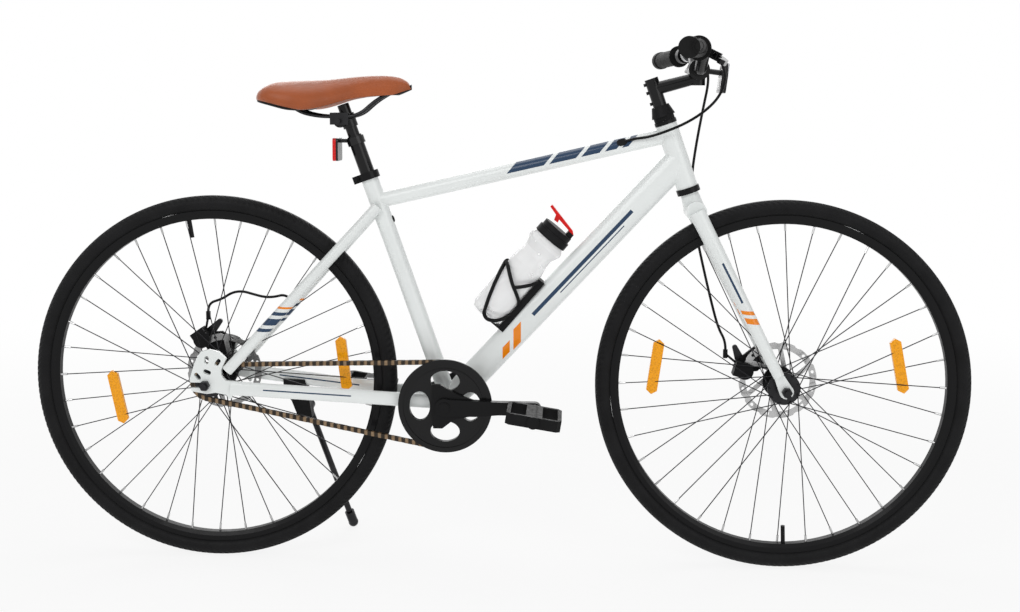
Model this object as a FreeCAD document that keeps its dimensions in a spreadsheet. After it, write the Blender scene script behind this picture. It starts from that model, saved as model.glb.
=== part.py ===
"""Hybrid bike with a welded frame, disc brakes and a single gear, modelled piece by piece.

X points forward, Y to the rider's left and Z up. The origin lies on the ground, midway between the wheels.
Sizes are millimetres and degrees.
"""
import FreeCAD, Part
import math
import os
import types

import Sketcher

SIZES = {
    # Layout
    "wheelbase": 1061,
    "bracket_drop": 37,
    "seat_angle": 70.3,
    "seat_tube_length": 453.5,
    "seat_tube_lead": 3,
    "head_angle": 70.75,
    "fork_rake": 49,
    "fork_length": 377,
    # General
    "clearance": 0.3,
    "running_fit": 0.05,
    "overrun": 5,
    # Frame tubes
    "tube_wall": 1.6,
    "head_tube_radius": 19.5,
    "head_tube_bore": 16,
    "head_tube_length": 122,
    "top_tube_seat_height": 397,
    "top_tube_head_height": 112.5,
    "top_tube_radius": 14,
    "down_tube_head_height": 62.7,
    "down_tube_drop": 5.9,
    "down_tube_start": 6,
    "down_tube_swell": 75,
    "down_tube_foot_tall": 20,
    "down_tube_tall": 26,
    "down_tube_wide": 20,
    "seat_tube_radius": 15.9,
    "seat_slit_width": 3,
    "seat_slit_depth": 30,
    "shell_radius": 20,
    "shell_bore": 17,
    "shell_width": 68,
    # Rear triangle
    "rear_width": 135,
    "dropout_thick": 7,
    "dropout_reach": 64,
    "dropout_rise": 67,
    "dropout_round": 6,
    "dropout_window_long": 15,
    "dropout_window_wide": 8,
    "chainstay_tall": 13,
    "chainstay_wide": 8,
    "chainstay_front_spread": 23,
    "chainstay_rear_drop": 5,
    "seatstay_radius": 10.2,
    "seatstay_top_height": 388,
    "seatstay_top_spread": 20,
    "seatstay_foot_reach": 40,
    "seatstay_foot_rise": 27,
    "bridge_radius": 7,
    "chainstay_bridge_reach": 382,
    # Seat
    "post_radius": 13.6,
    "post_wall": 2.4,
    "post_insert": 130,
    "post_rise": 72,
    "post_neck_radius": 11.1,
    "post_tip": 32,
    "collar_height": 14,
    "collar_wall": 4.2,
    "collar_lug": 12,
    "collar_lug_width": 17,
    "collar_bolt_radius": 3,
    "collar_bolt_length": 26,
    "clip_height": 101,
    "clip_setback": 14,
    "clip_radius": 12.5,
    "clip_width": 29.5,
    "clip_bolt_radius": 4,
    "clip_bolt_length": 66,
    "jaw_width": 8,
    "jaw_height": 22,
    "jaw_length": 34,
    "rail_radius": 3.5,
    "saddle_length": 281,
    "saddle_width": 158,
    "saddle_setback": 149,
    "saddle_height": 72,
    "saddle_rise": 12,
    "saddle_base_thick": 5,
    "rail_drop": 8.2,
    "rail_rise": 20,
    # Rear reflector
    "rear_reflector_height": 62,
    "rear_reflector_tall": 42,
    "rear_reflector_wide": 44,
    "rear_reflector_thick": 10,
    "rear_reflector_hang": 16,
    "strap_wall": 3,
    "strap_height": 14,
    "strap_reach": 30,
    # Headset and fork
    "cup_height": 11,
    "cup_radius": 21.5,
    "upper_cup_height": 7,
    "upper_cup_radius": 20.5,
    "cover_height": 28,
    "cover_radius": 22,
    "cover_ring_radius": 19,
    "cover_ring_height": 8,
    "cover_top_radius": 16,
    "steerer_radius": 14.3,
    "steerer_bore": 11.2,
    "crown_height": 34,
    "crown_radius": 19.5,
    "crown_tall": 18.5,
    "crown_spread": 33,
    "leg_top_radius": 15.5,
    "leg_foot_radius": 10,
    "leg_wall": 2,
    "front_width": 100,
    "fork_end_thick": 6,
    "fork_end_radius": 13,
    "fork_end_rise": 32,
    # Cockpit
    "quill_radius": 11.1,
    "quill_insert": 70,
    "stem_column": 52,
    "stem_radius": 12.6,
    "stem_join": 20,
    "stem_reach": 86,
    "stem_angle": 24,
    "stem_arm_radius": 12,
    "stem_barrel_radius": 13,
    "stem_barrel_drop": 28,
    "stem_bolt_radius": 3,
    "stem_bolt_length": 4,
    "bar_clamp_radius": 19,
    "bar_clamp_width": 40,
    "bar_radius": 11.1,
    "bar_clamp_bulge": 12.7,
    "bar_half_width": 298,
    "bar_flat": 38,
    "bar_knee": 98,
    "bar_rise": 34,
    "bar_sweep": 46,
    "bar_end_drop": 7,
    "bar_bend": 30,
    "bar_wall": 2,
    "grip_length": 124,
    "grip_radius": 16,
    "grip_flange_radius": 21,
    "grip_flange": 5,
    "grip_cap_radius": 17.5,
    "grip_cap": 12,
    "grip_end": 3,
    # Brake levers
    "lever_setback": 24,
    "lever_droop": 26,
    "lever_clamp_width": 16,
    "lever_clamp_wall": 4.5,
    "lever_offset": 30,
    "lever_gap": 9,
    "lever_thick": 8.4,
    "lever_ear": 3,
    "lever_eye": 6.5,
    "lever_pin_radius": 2.5,
    "lever_reach": 112,
    "lever_bow": 22,
    "lever_tip": 6,
    "barrel_radius": 4,
    "barrel_length": 16,
    "lever_barrel_reach": 20,
    # Front reflector and bell
    "front_reflector_tall": 54,
    "front_reflector_wide": 50,
    "front_reflector_thick": 11,
    "front_reflector_reach": 22,
    "bracket_radius": 5,
    "bell_gap": 26,
    "bell_radius": 18,
    "bell_depth": 16,
    "bell_wall": 1.5,
    "bell_clamp_width": 12,
    "bell_clamp_wall": 3,
    "bell_stalk": 7,
    "bell_lever_long": 26,
    "bell_lever_thick": 4,
    "bell_lever_wide": 8,
    # Wheels
    "tyre_height": 28,
    "tyre_width": 35,
    "tyre_wall": 3.2,
    "rim_radius": 317,
    "rim_depth": 16,
    "bead_drop": 4.5,
    "rim_width": 21,
    "rim_wall": 1.8,
    "rim_bed_width": 13,
    "rim_well": 3.5,
    "spoke_count": 36,
    "spoke_radius": 1,
    "spoke_crossing": 60,
    "spoke_head_gap": 1.1,
    "spoke_edge_gap": 1.6,
    "flange_radius": 30,
    "flange_thick": 2.6,
    "flange_hole_radius": 26,
    "valve_radius": 3.9,
    "valve_length": 33,
    "front_hub_radius": 15,
    "front_flange_place": 29,
    "front_rotor_place": 39.5,
    "front_axle_radius": 4.5,
    "rear_hub_radius": 18,
    "rear_left_flange": 33,
    "rear_right_flange": 24,
    "rear_rotor_place": 51.5,
    "rear_axle_radius": 5,
    "cone_radius": 8,
    "nut_radius": 9.5,
    "nut_length": 9,
    "axle_tail": 3,
    "wheel_reflector_long": 104,
    "wheel_reflector_wide": 20,
    "wheel_reflector_thick": 7,
    # Brake rotors and calipers
    "rotor_radius": 73,
    "rotor_thick": 1.8,
    "rotor_band": 13,
    "rotor_hub_radius": 28,
    "rotor_bore": 19,
    "rotor_seat": 3.5,
    "rotor_arm": 9,
    "rotor_scallop": 4,
    "rotor_slot": 3,
    "rotor_arms": 6,
    "rotor_scallops": 12,
    "caliper_radius": 16,
    "caliper_inner_depth": 8,
    "caliper_bridge_long": 24,
    "caliper_head_radius": 7,
    "caliper_stay_radius": 2.2,
    "caliper_barrel_reach": 46,
    "caliper_arm_root": 12,
    "caliper_arm_tip": 5,
    "caliper_slot": 5,
    "caliper_bridge": 28,
    "caliper_arm_long": 44,
    "caliper_arm_thick": 5,
    "caliper_pin_radius": 4,
    "caliper_cap": 3,
    "adapter_thick": 6,
    # Drivetrain
    "chain_pitch": 12.7,
    "chain_links": 98,
    "chainring_teeth": 40,
    "sprocket_teeth": 16,
    "chain_line": 45,
    "roller_radius": 3.85,
    "chain_inner_width": 3.5,
    "link_plate": 1,
    "link_radius": 4.1,
    "tooth_thick": 2.4,
    "tooth_seat": 4.3,
    "tooth_tip": 3.4,
    "tooth_mouth": 5.2,
    "ring_window_long": 27,
    "ring_window_deep": 19,
    "ring_window_place": 47,
    "ring_windows": 4,
    "guard_radius": 87,
    "guard_thick": 4,
    "guard_gap": 3,
    "guard_lip": 9,
    "crank_length": 165,
    "crank_boss_radius": 17,
    "crank_thick": 14,
    "crank_root_tall": 15.5,
    "crank_tip_tall": 12,
    "crank_flare": 42,
    "spindle_radius": 8.5,
    "bracket_cup_radius": 21.5,
    "bracket_cup_flange": 4,
    "bracket_cup_depth": 18,
    "dust_cap_radius": 10,
    "dust_cap_thick": 2,
    "freewheel_radius": 27,
    "freewheel_inner": 37,
    "freewheel_outer": 51,
    "freewheel_thread": 17,
    # Pedals
    "pedal_axle_radius": 4.5,
    "pedal_long": 98,
    "pedal_wide": 88,
    "pedal_thick": 20,
    "pedal_barrel": 11,
    "pedal_wall": 7,
    "pedal_gap": 5,
    "pedal_tilt": 9,
    "pedal_cap": 3,
    # Kickstand
    "stand_place": 140,
    "stand_bracket_long": 42,
    "stand_bracket_wide": 24,
    "stand_bracket_tall": 84,
    "stand_pivot_drop": 74,
    "stand_pivot_ahead": 18,
    "stand_pin_radius": 5,
    "stand_head_radius": 7.5,
    "stand_barrel_radius": 11,
    "stand_barrel_long": 16,
    "stand_leg_radius": 6,
    "stand_foot_radius": 10,
    "stand_foot_long": 26,
    "stand_foot_ahead": 72,
    "stand_foot_out": 80,
    "stand_fold_rise": 40,
    "stand_fold_out": 12,
    # Bottle and cage
    "bottle_radius": 33,
    "bottle_base_radius": 28,
    "bottle_shoulder_radius": 35.5,
    "bottle_tilt": 2.75,
    "bottle_waist_radius": 28.5,
    "bottle_neck_radius": 29,
    "bottle_length": 184,
    "bottle_wall": 1.6,
    "bottle_start": 173,
    "bottle_offset": 63.2,
    "bottle_cap_radius": 33,
    "bottle_cap_height": 26,
    "bottle_cap_top_radius": 30,
    "spout_length": 60,
    "spout_hub_radius": 6,
    "spout_setback": 22,
    "spout_wide": 14,
    "spout_ear": 4,
    "spout_pin_radius": 3,
    "cage_wire": 3.4,
    "cage_plate_wide": 32,
    "cage_plate_long": 116,
    "cage_plate_deep": 12,
    # Cables
    "cable_radius": 2.5,
    "grommet_radius": 6,
    "grommet_thick": 3,
}

doc = FreeCAD.newDocument("hybrid_bike")
sheet = doc.addObject("Spreadsheet::Sheet", "Sizes")
for row, (alias, amount) in enumerate(SIZES.items(), start=1):
    sheet.set(f"A{row}", alias)
    sheet.set(f"B{row}", str(amount))
    sheet.setAlias(f"B{row}", alias)
doc.recompute()
dim = types.SimpleNamespace(**{alias: float(sheet.get(alias)) for alias in SIZES})

ORIGIN = FreeCAD.Vector(0, 0, 0)
ACROSS = FreeCAD.Vector(0, 1, 0)
UP = FreeCAD.Vector(0, 0, 1)
AHEAD = FreeCAD.Vector(1, 0, 0)


# Building blocks

def point(x, y, z):
    return FreeCAD.Vector(x, y, z)


def unit(vector):
    return FreeCAD.Vector(vector) / vector.Length


def turned_in_plane(degrees, length=1):
    """A vector in the bike's plane, turned up from straight ahead."""
    angle = math.radians(degrees)
    return point(length * math.cos(angle), 0, length * math.sin(angle))


def piece(label, shape):
    """A sub-part whose shape is set in code."""
    made = doc.addObject("Part::Feature", label)
    made.Label = label
    made.Shape = shape
    return made


def group(*shapes):
    return Part.makeCompound(list(shapes))


def mirrored(shape):
    """The same shape on the other side of the bike."""
    return shape.mirror(ORIGIN, ACROSS)


def both_sides(shape):
    return group(shape, mirrored(shape))


SEAM_TURN = 37


def rod(start, end, radius):
    """A round bar, with its seam turned off the planes that other pieces cut it on."""
    made = Part.makeCylinder(radius, (end - start).Length, start, end - start)
    made.rotate(start, end - start, SEAM_TURN)
    return made


def ring(start, end, radius, bore):
    return rod(start, end, radius).cut(rod(start, end, bore))


def cone(start, end, start_radius, end_radius):
    made = Part.makeCone(start_radius, end_radius, (end - start).Length, start, end - start)
    made.rotate(start, end - start, SEAM_TURN)
    return made


def block(centre, ahead, upright, long, wide, tall):
    """A box about centre: long toward ahead, tall toward upright."""
    side = upright.cross(ahead)
    corner = centre - ahead * long / 2 - side * wide / 2 - upright * tall / 2
    made = Part.makeBox(long, wide, tall)
    made.Placement = FreeCAD.Placement(FreeCAD.Matrix(
        ahead.x, side.x, upright.x, corner.x,
        ahead.y, side.y, upright.y, corner.y,
        ahead.z, side.z, upright.z, corner.z))
    return made


def slab(corners, thickness):
    """A flat plate with straight sides, thickened by a vector."""
    return Part.Face(Part.makePolygon(list(corners) + [corners[0]])).extrude(thickness)


OVAL_END_SHARE = 1.15


def oval(centre, along, half_tall, half_wide):
    """An oval of four tangent arcs, square to along and tall in the plane that holds Z."""
    wide = unit(along.cross(UP))
    tall = unit(wide.cross(along))
    end_radius = half_wide ** 2 / half_tall * OVAL_END_SHARE
    reach = half_tall - end_radius
    sink = (reach ** 2 - (half_wide - end_radius) ** 2) / (2 * (half_wide - end_radius))
    meeting = unit(point(reach, sink, 0)) * (half_wide + sink)
    up = tall * meeting.x
    side = wide * (meeting.y - sink)
    ends = [centre + up + side, centre + up - side, centre - up - side, centre - up + side]
    middles = [centre + tall * half_tall, centre - wide * half_wide, centre - tall * half_tall,
               centre + wide * half_wide]
    return Part.Wire([Part.Arc(start, middle, end).toShape()
                      for start, middle, end in zip(ends, middles, ends[1:] + ends[:1])])


def oval_bar(start, end, half_tall, half_wide):
    """A solid straight bar of an oval section."""
    return Part.Face(oval(start, end - start, half_tall, half_wide)).extrude(end - start)


def oval_tube(start, end, half_tall, half_wide, wall):
    """The outer form of a straight oval tube, and the hollow tube itself."""
    outer = oval_bar(start, end, half_tall, half_wide)
    return outer, outer.cut(oval_bar(start, end, half_tall - wall, half_wide - wall))


def round_tube(start, end, radius, wall):
    """The outer form of a straight round tube, and the hollow tube itself."""
    return rod(start, end, radius), ring(start, end, radius, radius - wall)


def bend_radius(before, corner, after, share=0.45):
    """The largest tidy bend at a corner: its tangents take a share of the shorter run."""
    into = corner - before
    out = after - corner
    half_turn = into.getAngle(out) / 2
    return share * min(into.Length, out.Length) / math.tan(half_turn)


def bent_path(points, radius=None):
    """Straight runs joined by tangent arcs, with one radius or the largest that each corner allows."""
    edges = []
    start = points[0]
    for before, corner, after in zip(points, points[1:], points[2:]):
        into = unit(corner - before)
        out = unit(after - corner)
        half_turn = into.getAngle(out) / 2
        bend = radius if radius else bend_radius(before, corner, after)
        trim = bend * math.tan(half_turn)
        middle = corner + unit(out - into) * bend * (1 / math.cos(half_turn) - 1)
        first = corner - into * trim
        last = corner + out * trim
        edges.append(Part.LineSegment(start, first).toShape())
        edges.append(Part.Arc(first, middle, last).toShape())
        start = last
    edges.append(Part.LineSegment(start, points[-1]).toShape())
    return Part.Wire(edges)


def bent_rod(points, rod_radius, radius=None):
    path = bent_path(points, radius)
    section = Part.Wire(Part.makeCircle(rod_radius, points[0], points[1] - points[0]))
    return path.makePipeShell([section], True, False)


def prism_rod(start, end, radius, sides=6):
    """A thin straight rod with a few flat sides."""
    along = unit(end - start)
    wide = unit(along.cross(UP if abs(along.z) < abs(along.x) + abs(along.y) else AHEAD))
    tall = along.cross(wide)
    corners = []
    for side in range(sides):
        angle = 2 * math.pi * side / sides
        corners.append(start + wide * radius * math.cos(angle) + tall * radius * math.sin(angle))
    return slab(corners, end - start)


def origin_plane(body, role):
    return next(feature for feature in body.Origin.OriginFeatures if feature.Role == role)


def new_body(label):
    body = doc.addObject("PartDesign::Body", label)
    body.Label = label
    return body


def outline(body, plane, corners, name):
    """A closed sketch with straight sides: each corner is a pair of expressions, measured from the origin."""
    sketch = body.newObject("Sketcher::SketchObject", name)
    sketch.AttachmentSupport = (origin_plane(body, plane), [""])
    sketch.MapMode = "FlatFace"
    values = [(float(sheet.evalExpression(x)), float(sheet.evalExpression(y))) for x, y in corners]
    count = len(corners)
    for here in range(count):
        there = (here + 1) % count
        sketch.addGeometry(Part.LineSegment(point(*values[here], 0), point(*values[there], 0)), False)
    for here in range(count):
        sketch.addConstraint(Sketcher.Constraint("Coincident", here, 2, (here + 1) % count, 1))
    for here in range(count):
        for kind, expression, start in zip(("DistanceX", "DistanceY"), corners[here], values[here]):
            number = sketch.addConstraint(Sketcher.Constraint(kind, -1, 1, here, 1, start))
            sketch.setExpression(f"Constraints[{number}]", expression)
    return sketch


def turned_body(label, corners, axis_point, axis):
    """A body of revolution from (radius, height) corners, set on axis_point with its height along axis."""
    body = new_body(label)
    sketch = outline(body, "XZ_Plane", corners, label + "_profile")
    turn = body.newObject("PartDesign::Revolution", label + "_turn")
    turn.Profile = sketch
    turn.ReferenceAxis = (sketch, ["V_Axis"])
    turn.Angle = 360
    body.Placement = FreeCAD.Placement(axis_point, FreeCAD.Rotation(UP, axis))
    return body


# Layout: the points and directions that the pieces share

def pitch_radius(teeth):
    return dim.chain_pitch / (2 * math.sin(math.pi / teeth))


RING_PITCH = pitch_radius(dim.chainring_teeth)
SPROCKET_PITCH = pitch_radius(dim.sprocket_teeth)


def links_needed(distance):
    """Chain links that go round both sprockets at a centre distance."""
    lean = math.asin((RING_PITCH - SPROCKET_PITCH) / distance)
    straight = 2 * distance * math.cos(lean) / dim.chain_pitch
    return (straight + dim.chainring_teeth * (math.pi + 2 * lean) / (2 * math.pi)
            + dim.sprocket_teeth * (math.pi - 2 * lean) / (2 * math.pi))


def centre_distance():
    """The chainstay length at which the chain closes, found by halving."""
    short = RING_PITCH + SPROCKET_PITCH
    far = dim.chain_links * dim.chain_pitch
    for step in range(60):
        middle = (short + far) / 2
        if links_needed(middle) < dim.chain_links:
            short = middle
        else:
            far = middle
    return short


TYRE_RADIUS = dim.rim_radius + dim.tyre_height
REAR = point(-dim.wheelbase / 2, 0, TYRE_RADIUS)
FRONT = point(dim.wheelbase / 2, 0, TYRE_RADIUS)
STAY_LENGTH = centre_distance()
BRACKET = REAR + point(math.sqrt(STAY_LENGTH ** 2 - dim.bracket_drop ** 2), 0, -dim.bracket_drop)

SEAT_AXIS = turned_in_plane(180 - dim.seat_angle)
SEAT_FOOT = BRACKET + AHEAD * dim.seat_tube_lead
SEAT_TOP = SEAT_FOOT + SEAT_AXIS * dim.seat_tube_length
SEAT_BACK = turned_in_plane(270 - dim.seat_angle)
HEAD_AXIS = turned_in_plane(180 - dim.head_angle)
HEAD_AHEAD = turned_in_plane(90 - dim.head_angle)
STEER_FOOT = FRONT - point(dim.fork_rake / math.sin(math.radians(dim.head_angle)), 0, 0)
RACE = STEER_FOOT + HEAD_AXIS * dim.fork_length


def on_head(height):
    """A point of the steering axis, measured up from the crown race."""
    return RACE + HEAD_AXIS * height


HEAD_LOW = dim.clearance + dim.cup_height
HEAD_HIGH = HEAD_LOW + dim.head_tube_length
COVER_LOW = HEAD_HIGH + dim.upper_cup_height + dim.clearance
COVER_HIGH = COVER_LOW + dim.cover_height
STEERER_TOP = COVER_HIGH - dim.clearance
STEM_HIGH = COVER_HIGH + dim.stem_column
STEM_JOIN = STEM_HIGH - dim.stem_join
STEM_AHEAD = turned_in_plane(dim.stem_angle)
BAR = on_head(STEM_JOIN) + STEM_AHEAD * dim.stem_reach

DOWN_HEAD = on_head(dim.down_tube_head_height)
DOWN_FOOT = BRACKET - UP * dim.down_tube_drop
DOWN_AXIS = unit(DOWN_HEAD - DOWN_FOOT)
DOWN_UP = unit(ACROSS.cross(DOWN_AXIS) * -1)
REAR_FACE = dim.rear_width / 2
REAR_MID = REAR_FACE + dim.dropout_thick / 2
FRONT_FACE = dim.front_width / 2


# Frame

def head_tube_solid():
    return rod(on_head(HEAD_LOW), on_head(HEAD_HIGH), dim.head_tube_radius)


def seat_tube_solid():
    return rod(SEAT_FOOT, SEAT_TOP, dim.seat_tube_radius)


def shell_solid():
    half = ACROSS * dim.shell_width / 2
    return rod(BRACKET - half, BRACKET + half, dim.shell_radius)


def make_head_tube():
    bore = rod(on_head(HEAD_LOW), on_head(HEAD_HIGH), dim.head_tube_bore)
    return piece("head_tube", head_tube_solid().cut(bore))


def top_tube_line():
    return SEAT_FOOT + SEAT_AXIS * dim.top_tube_seat_height, on_head(dim.top_tube_head_height)


def top_tube_shapes():
    start, end = top_tube_line()
    return round_tube(start, end, dim.top_tube_radius, dim.tube_wall)


def make_top_tube():
    outer, tube = top_tube_shapes()
    return piece("top_tube", tube.cut(seat_tube_solid()).cut(head_tube_solid()))


def down_tube_shapes():
    """The outer form, drawn in at its foot to the width of the bracket shell, and the hollow tube."""
    start = DOWN_FOOT + DOWN_AXIS * dim.down_tube_start
    solids = []
    for inset in (0, dim.tube_wall):
        tall = dim.down_tube_tall - inset
        wide = dim.down_tube_wide - inset
        solid = oval_bar(start, DOWN_HEAD, tall, wide)
        for side in (1, -1):
            low = start + DOWN_UP * side * (dim.down_tube_foot_tall - inset)
            swell = start + DOWN_AXIS * dim.down_tube_swell + DOWN_UP * side * tall
            corner = start + DOWN_UP * side * (tall + dim.overrun)
            corners = [low - DOWN_AXIS * dim.overrun, corner - DOWN_AXIS * dim.overrun,
                       corner + DOWN_AXIS * dim.down_tube_swell, swell]
            solid = solid.cut(slab([place - ACROSS * wide * 2 for place in corners], ACROSS * wide * 4))
        solids.append(solid)
    outer, inner = solids
    return outer, outer.cut(inner)


def make_down_tube():
    outer, tube = down_tube_shapes()
    tube = tube.cut(shell_solid()).cut(seat_tube_solid()).cut(head_tube_solid())
    return piece("down_tube", largest(tube))


def largest(shape):
    """The main solid, without the scraps that a cut can leave inside a neighbour."""
    return max(shape.Solids, key=lambda solid: solid.Volume)


def make_seat_tube():
    bore = rod(SEAT_FOOT, SEAT_TOP, dim.post_radius + dim.running_fit)
    slit = block(SEAT_TOP + SEAT_BACK * dim.seat_tube_radius - SEAT_AXIS * dim.seat_slit_depth / 2, SEAT_BACK,
                 SEAT_AXIS, dim.seat_tube_radius, dim.seat_slit_width, dim.seat_slit_depth)
    return piece("seat_tube", largest(seat_tube_solid().cut(bore).cut(shell_solid()).cut(slit)))


def make_bottom_bracket_shell():
    half = ACROSS * dim.shell_width / 2
    return piece("bottom_bracket_shell", ring(BRACKET - half, BRACKET + half, dim.shell_radius, dim.shell_bore))


DROPOUT_SHARES = [(-0.40, -0.17), (-0.45, 0.17), (-0.30, 0.62), (-0.12, 0.93), (0.12, 1.0), (0.40, 0.94),
                  (0.62, 0.75), (0.47, 0.45), (0.47, 0.27), (0.60, 0.14), (1.0, 0.10), (1.0, -0.27),
                  (0.78, -0.27), (0.72, -0.44), (0.62, -0.26), (0.30, -0.20), (0.05, -0.24)]
DROPOUT_WINDOW_SHARES = [(0.05, 0.70, 85), (0.37, 0.64, 55), (0.06, 0.37, 160), (-0.22, 0.25, 130)]


def dropout_solid():
    """The right plate, with its axle slot open to the rear and its slanted oval windows."""
    inner = REAR - ACROSS * REAR_FACE
    thickness = ACROSS * -dim.dropout_thick
    corners = [inner + point(x * dim.dropout_reach, 0, z * dim.dropout_rise) for x, z in DROPOUT_SHARES]
    plate = slab(corners, thickness)
    upright = [edge for edge in plate.Edges if abs(edge.Length - dim.dropout_thick) < dim.running_fit]
    plate = plate.makeFillet(dim.dropout_round / 2, upright)
    past = ACROSS * dim.overrun
    slot = rod(inner + past, inner + thickness - past, dim.rear_axle_radius + dim.running_fit)
    slot_length = dim.dropout_reach
    slot = slot.fuse(block(inner + thickness / 2 - AHEAD * slot_length / 2, AHEAD, UP, slot_length,
                           dim.dropout_thick + dim.overrun, 2 * (dim.rear_axle_radius + dim.running_fit)))
    plate = plate.cut(slot)
    for x, z, angle in DROPOUT_WINDOW_SHARES:
        middle = inner + point(x * dim.dropout_reach, 0, z * dim.dropout_rise)
        half = turned_in_plane(angle, (dim.dropout_window_long - dim.dropout_window_wide) / 2)
        for end in (middle + half, middle - half):
            plate = plate.cut(rod(end, end + thickness, dim.dropout_window_wide / 2))
        side = turned_in_plane(angle + 90, dim.dropout_window_wide / 2)
        plate = plate.cut(slab([middle + half + side, middle + half - side, middle - half - side,
                                middle - half + side], thickness))
    return plate


def chainstay_line():
    """The right chainstay's middle line, from the bracket shell to the dropout."""
    rear = REAR + point(dim.dropout_reach * CHAINSTAY_REAR_SHARE, -REAR_MID, -dim.chainstay_rear_drop)
    return BRACKET - ACROSS * dim.chainstay_front_spread, rear


CHAINSTAY_REAR_SHARE = 0.72


def chainstay_shapes():
    front, rear = chainstay_line()
    return oval_tube(front, rear, dim.chainstay_tall, dim.chainstay_wide, dim.tube_wall)


def make_chainstays():
    outer, tube = chainstay_shapes()
    seat_and_down = seat_tube_solid().fuse(down_tube_shapes()[0])
    stay = largest(tube.cut(shell_solid()).cut(seat_and_down).cut(dropout_solid()))
    place = REAR + AHEAD * dim.chainstay_bridge_reach - UP * dim.bracket_drop
    half = ACROSS * chainstay_side(dim.chainstay_bridge_reach)
    bridge = rod(place - half, place + half, dim.bridge_radius).cut(outer).cut(mirrored(outer))
    middle = min(bridge.Solids, key=lambda solid: abs(solid.CenterOfMass.y))
    return piece("chainstays", group(stay, mirrored(stay), middle))


def seatstay_line():
    top = SEAT_FOOT + SEAT_AXIS * dim.seatstay_top_height - ACROSS * dim.seatstay_top_spread
    foot = REAR + point(dim.seatstay_foot_reach, -REAR_MID, dim.seatstay_foot_rise)
    return top, foot


def seatstay_shapes():
    top, foot = seatstay_line()
    return round_tube(top, foot, dim.seatstay_radius, dim.tube_wall)


SEATSTAY_BRIDGE_SHARE = 0.22


def make_seatstays():
    outer, tube = seatstay_shapes()
    stay = largest(tube.cut(seat_tube_solid()).cut(dropout_solid()))
    top, foot = seatstay_line()
    place = top + (foot - top) * SEATSTAY_BRIDGE_SHARE
    bridge = rod(place, point(place.x, -place.y, place.z), dim.bridge_radius).cut(outer).cut(mirrored(outer))
    return piece("seatstays", group(stay, mirrored(stay), largest(bridge)))


def make_dropouts():
    return piece("dropouts", both_sides(dropout_solid()))


def make_bearing_cups():
    """Headset cups in the head tube and bottom bracket cups in the shell."""
    lower = ring(on_head(dim.clearance), on_head(HEAD_LOW), dim.cup_radius, dim.steerer_radius + dim.running_fit)
    upper = ring(on_head(HEAD_HIGH), on_head(HEAD_HIGH + dim.upper_cup_height), dim.upper_cup_radius,
                 dim.steerer_radius + dim.running_fit)
    face = BRACKET - ACROSS * dim.shell_width / 2
    bore = dim.spindle_radius + dim.running_fit
    flange = ring(face - ACROSS * dim.bracket_cup_flange, face, dim.bracket_cup_radius, bore)
    sleeve = ring(face, face + ACROSS * dim.bracket_cup_depth, dim.shell_bore - dim.running_fit, bore)
    cup = flange.fuse(sleeve)
    return piece("bearing_cups", group(lower, upper, cup, mirrored(cup)))


def make_seat_collar():
    """A split band round the top of the seat tube, closed by a bolt behind it."""
    low = SEAT_TOP - SEAT_AXIS * dim.collar_height
    bore = dim.seat_tube_radius + dim.running_fit
    radius = bore + dim.collar_wall
    band = rod(low, SEAT_TOP, radius)
    lug_place = (low + SEAT_TOP) / 2 + SEAT_BACK * (radius + dim.collar_lug / 4)
    lug = block(lug_place, SEAT_BACK, SEAT_AXIS, dim.collar_lug, dim.collar_lug_width, dim.collar_height)
    slit = block(lug_place, SEAT_BACK, SEAT_AXIS, dim.collar_lug * 2, dim.seat_slit_width, dim.collar_height * 2)
    half = ACROSS * dim.collar_bolt_length / 2
    bolt = rod(lug_place - half, lug_place + half, dim.collar_bolt_radius)
    collar = band.fuse(lug).cut(rod(low, SEAT_TOP, bore)).cut(slit).cut(bolt)
    return piece("seat_collar", group(largest(collar), bolt))


# Chain

def chain_rollers():
    """Roller centres in order: over the chainring's front, back along the lower run, round the sprocket."""
    ahead = unit(BRACKET - REAR)
    above = unit(UP - ahead * UP.dot(ahead))
    lean = math.asin((RING_PITCH - SPROCKET_PITCH) / STAY_LENGTH)
    upper = above * math.cos(lean) - ahead * math.sin(lean)
    lower = above * -math.cos(lean) - ahead * math.sin(lean)
    straight = STAY_LENGTH * math.cos(lean) / dim.chain_pitch
    ring_turns = dim.chainring_teeth * (math.pi + 2 * lean) / (2 * math.pi)
    sprocket_turns = dim.sprocket_teeth * (math.pi - 2 * lean) / (2 * math.pi)
    upper_angle = math.degrees(math.atan2(upper.z, upper.x))
    lower_angle = math.degrees(math.atan2(lower.z, lower.x))
    centres = []
    for number in range(int(dim.chain_links)):
        if number <= ring_turns:
            angle = upper_angle - number * 360 / dim.chainring_teeth
            centres.append(BRACKET + turned_in_plane(angle, RING_PITCH))
            continue
        number -= ring_turns
        if number <= straight:
            share = number / straight
            centres.append((BRACKET + lower * RING_PITCH) * (1 - share) + (REAR + lower * SPROCKET_PITCH) * share)
            continue
        number -= straight
        if number <= sprocket_turns:
            angle = lower_angle - number * 360 / dim.sprocket_teeth
            centres.append(REAR + turned_in_plane(angle, SPROCKET_PITCH))
            continue
        share = (number - sprocket_turns) / straight
        centres.append((REAR + upper * SPROCKET_PITCH) * (1 - share) + (BRACKET + upper * RING_PITCH) * share)
    ring_phase = upper_angle
    sprocket_phase = lower_angle + (ring_turns + straight) * 360 / dim.sprocket_teeth
    return centres, ring_phase, sprocket_phase


CHAIN_ROLLERS, RING_PHASE, SPROCKET_PHASE = chain_rollers()


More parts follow.
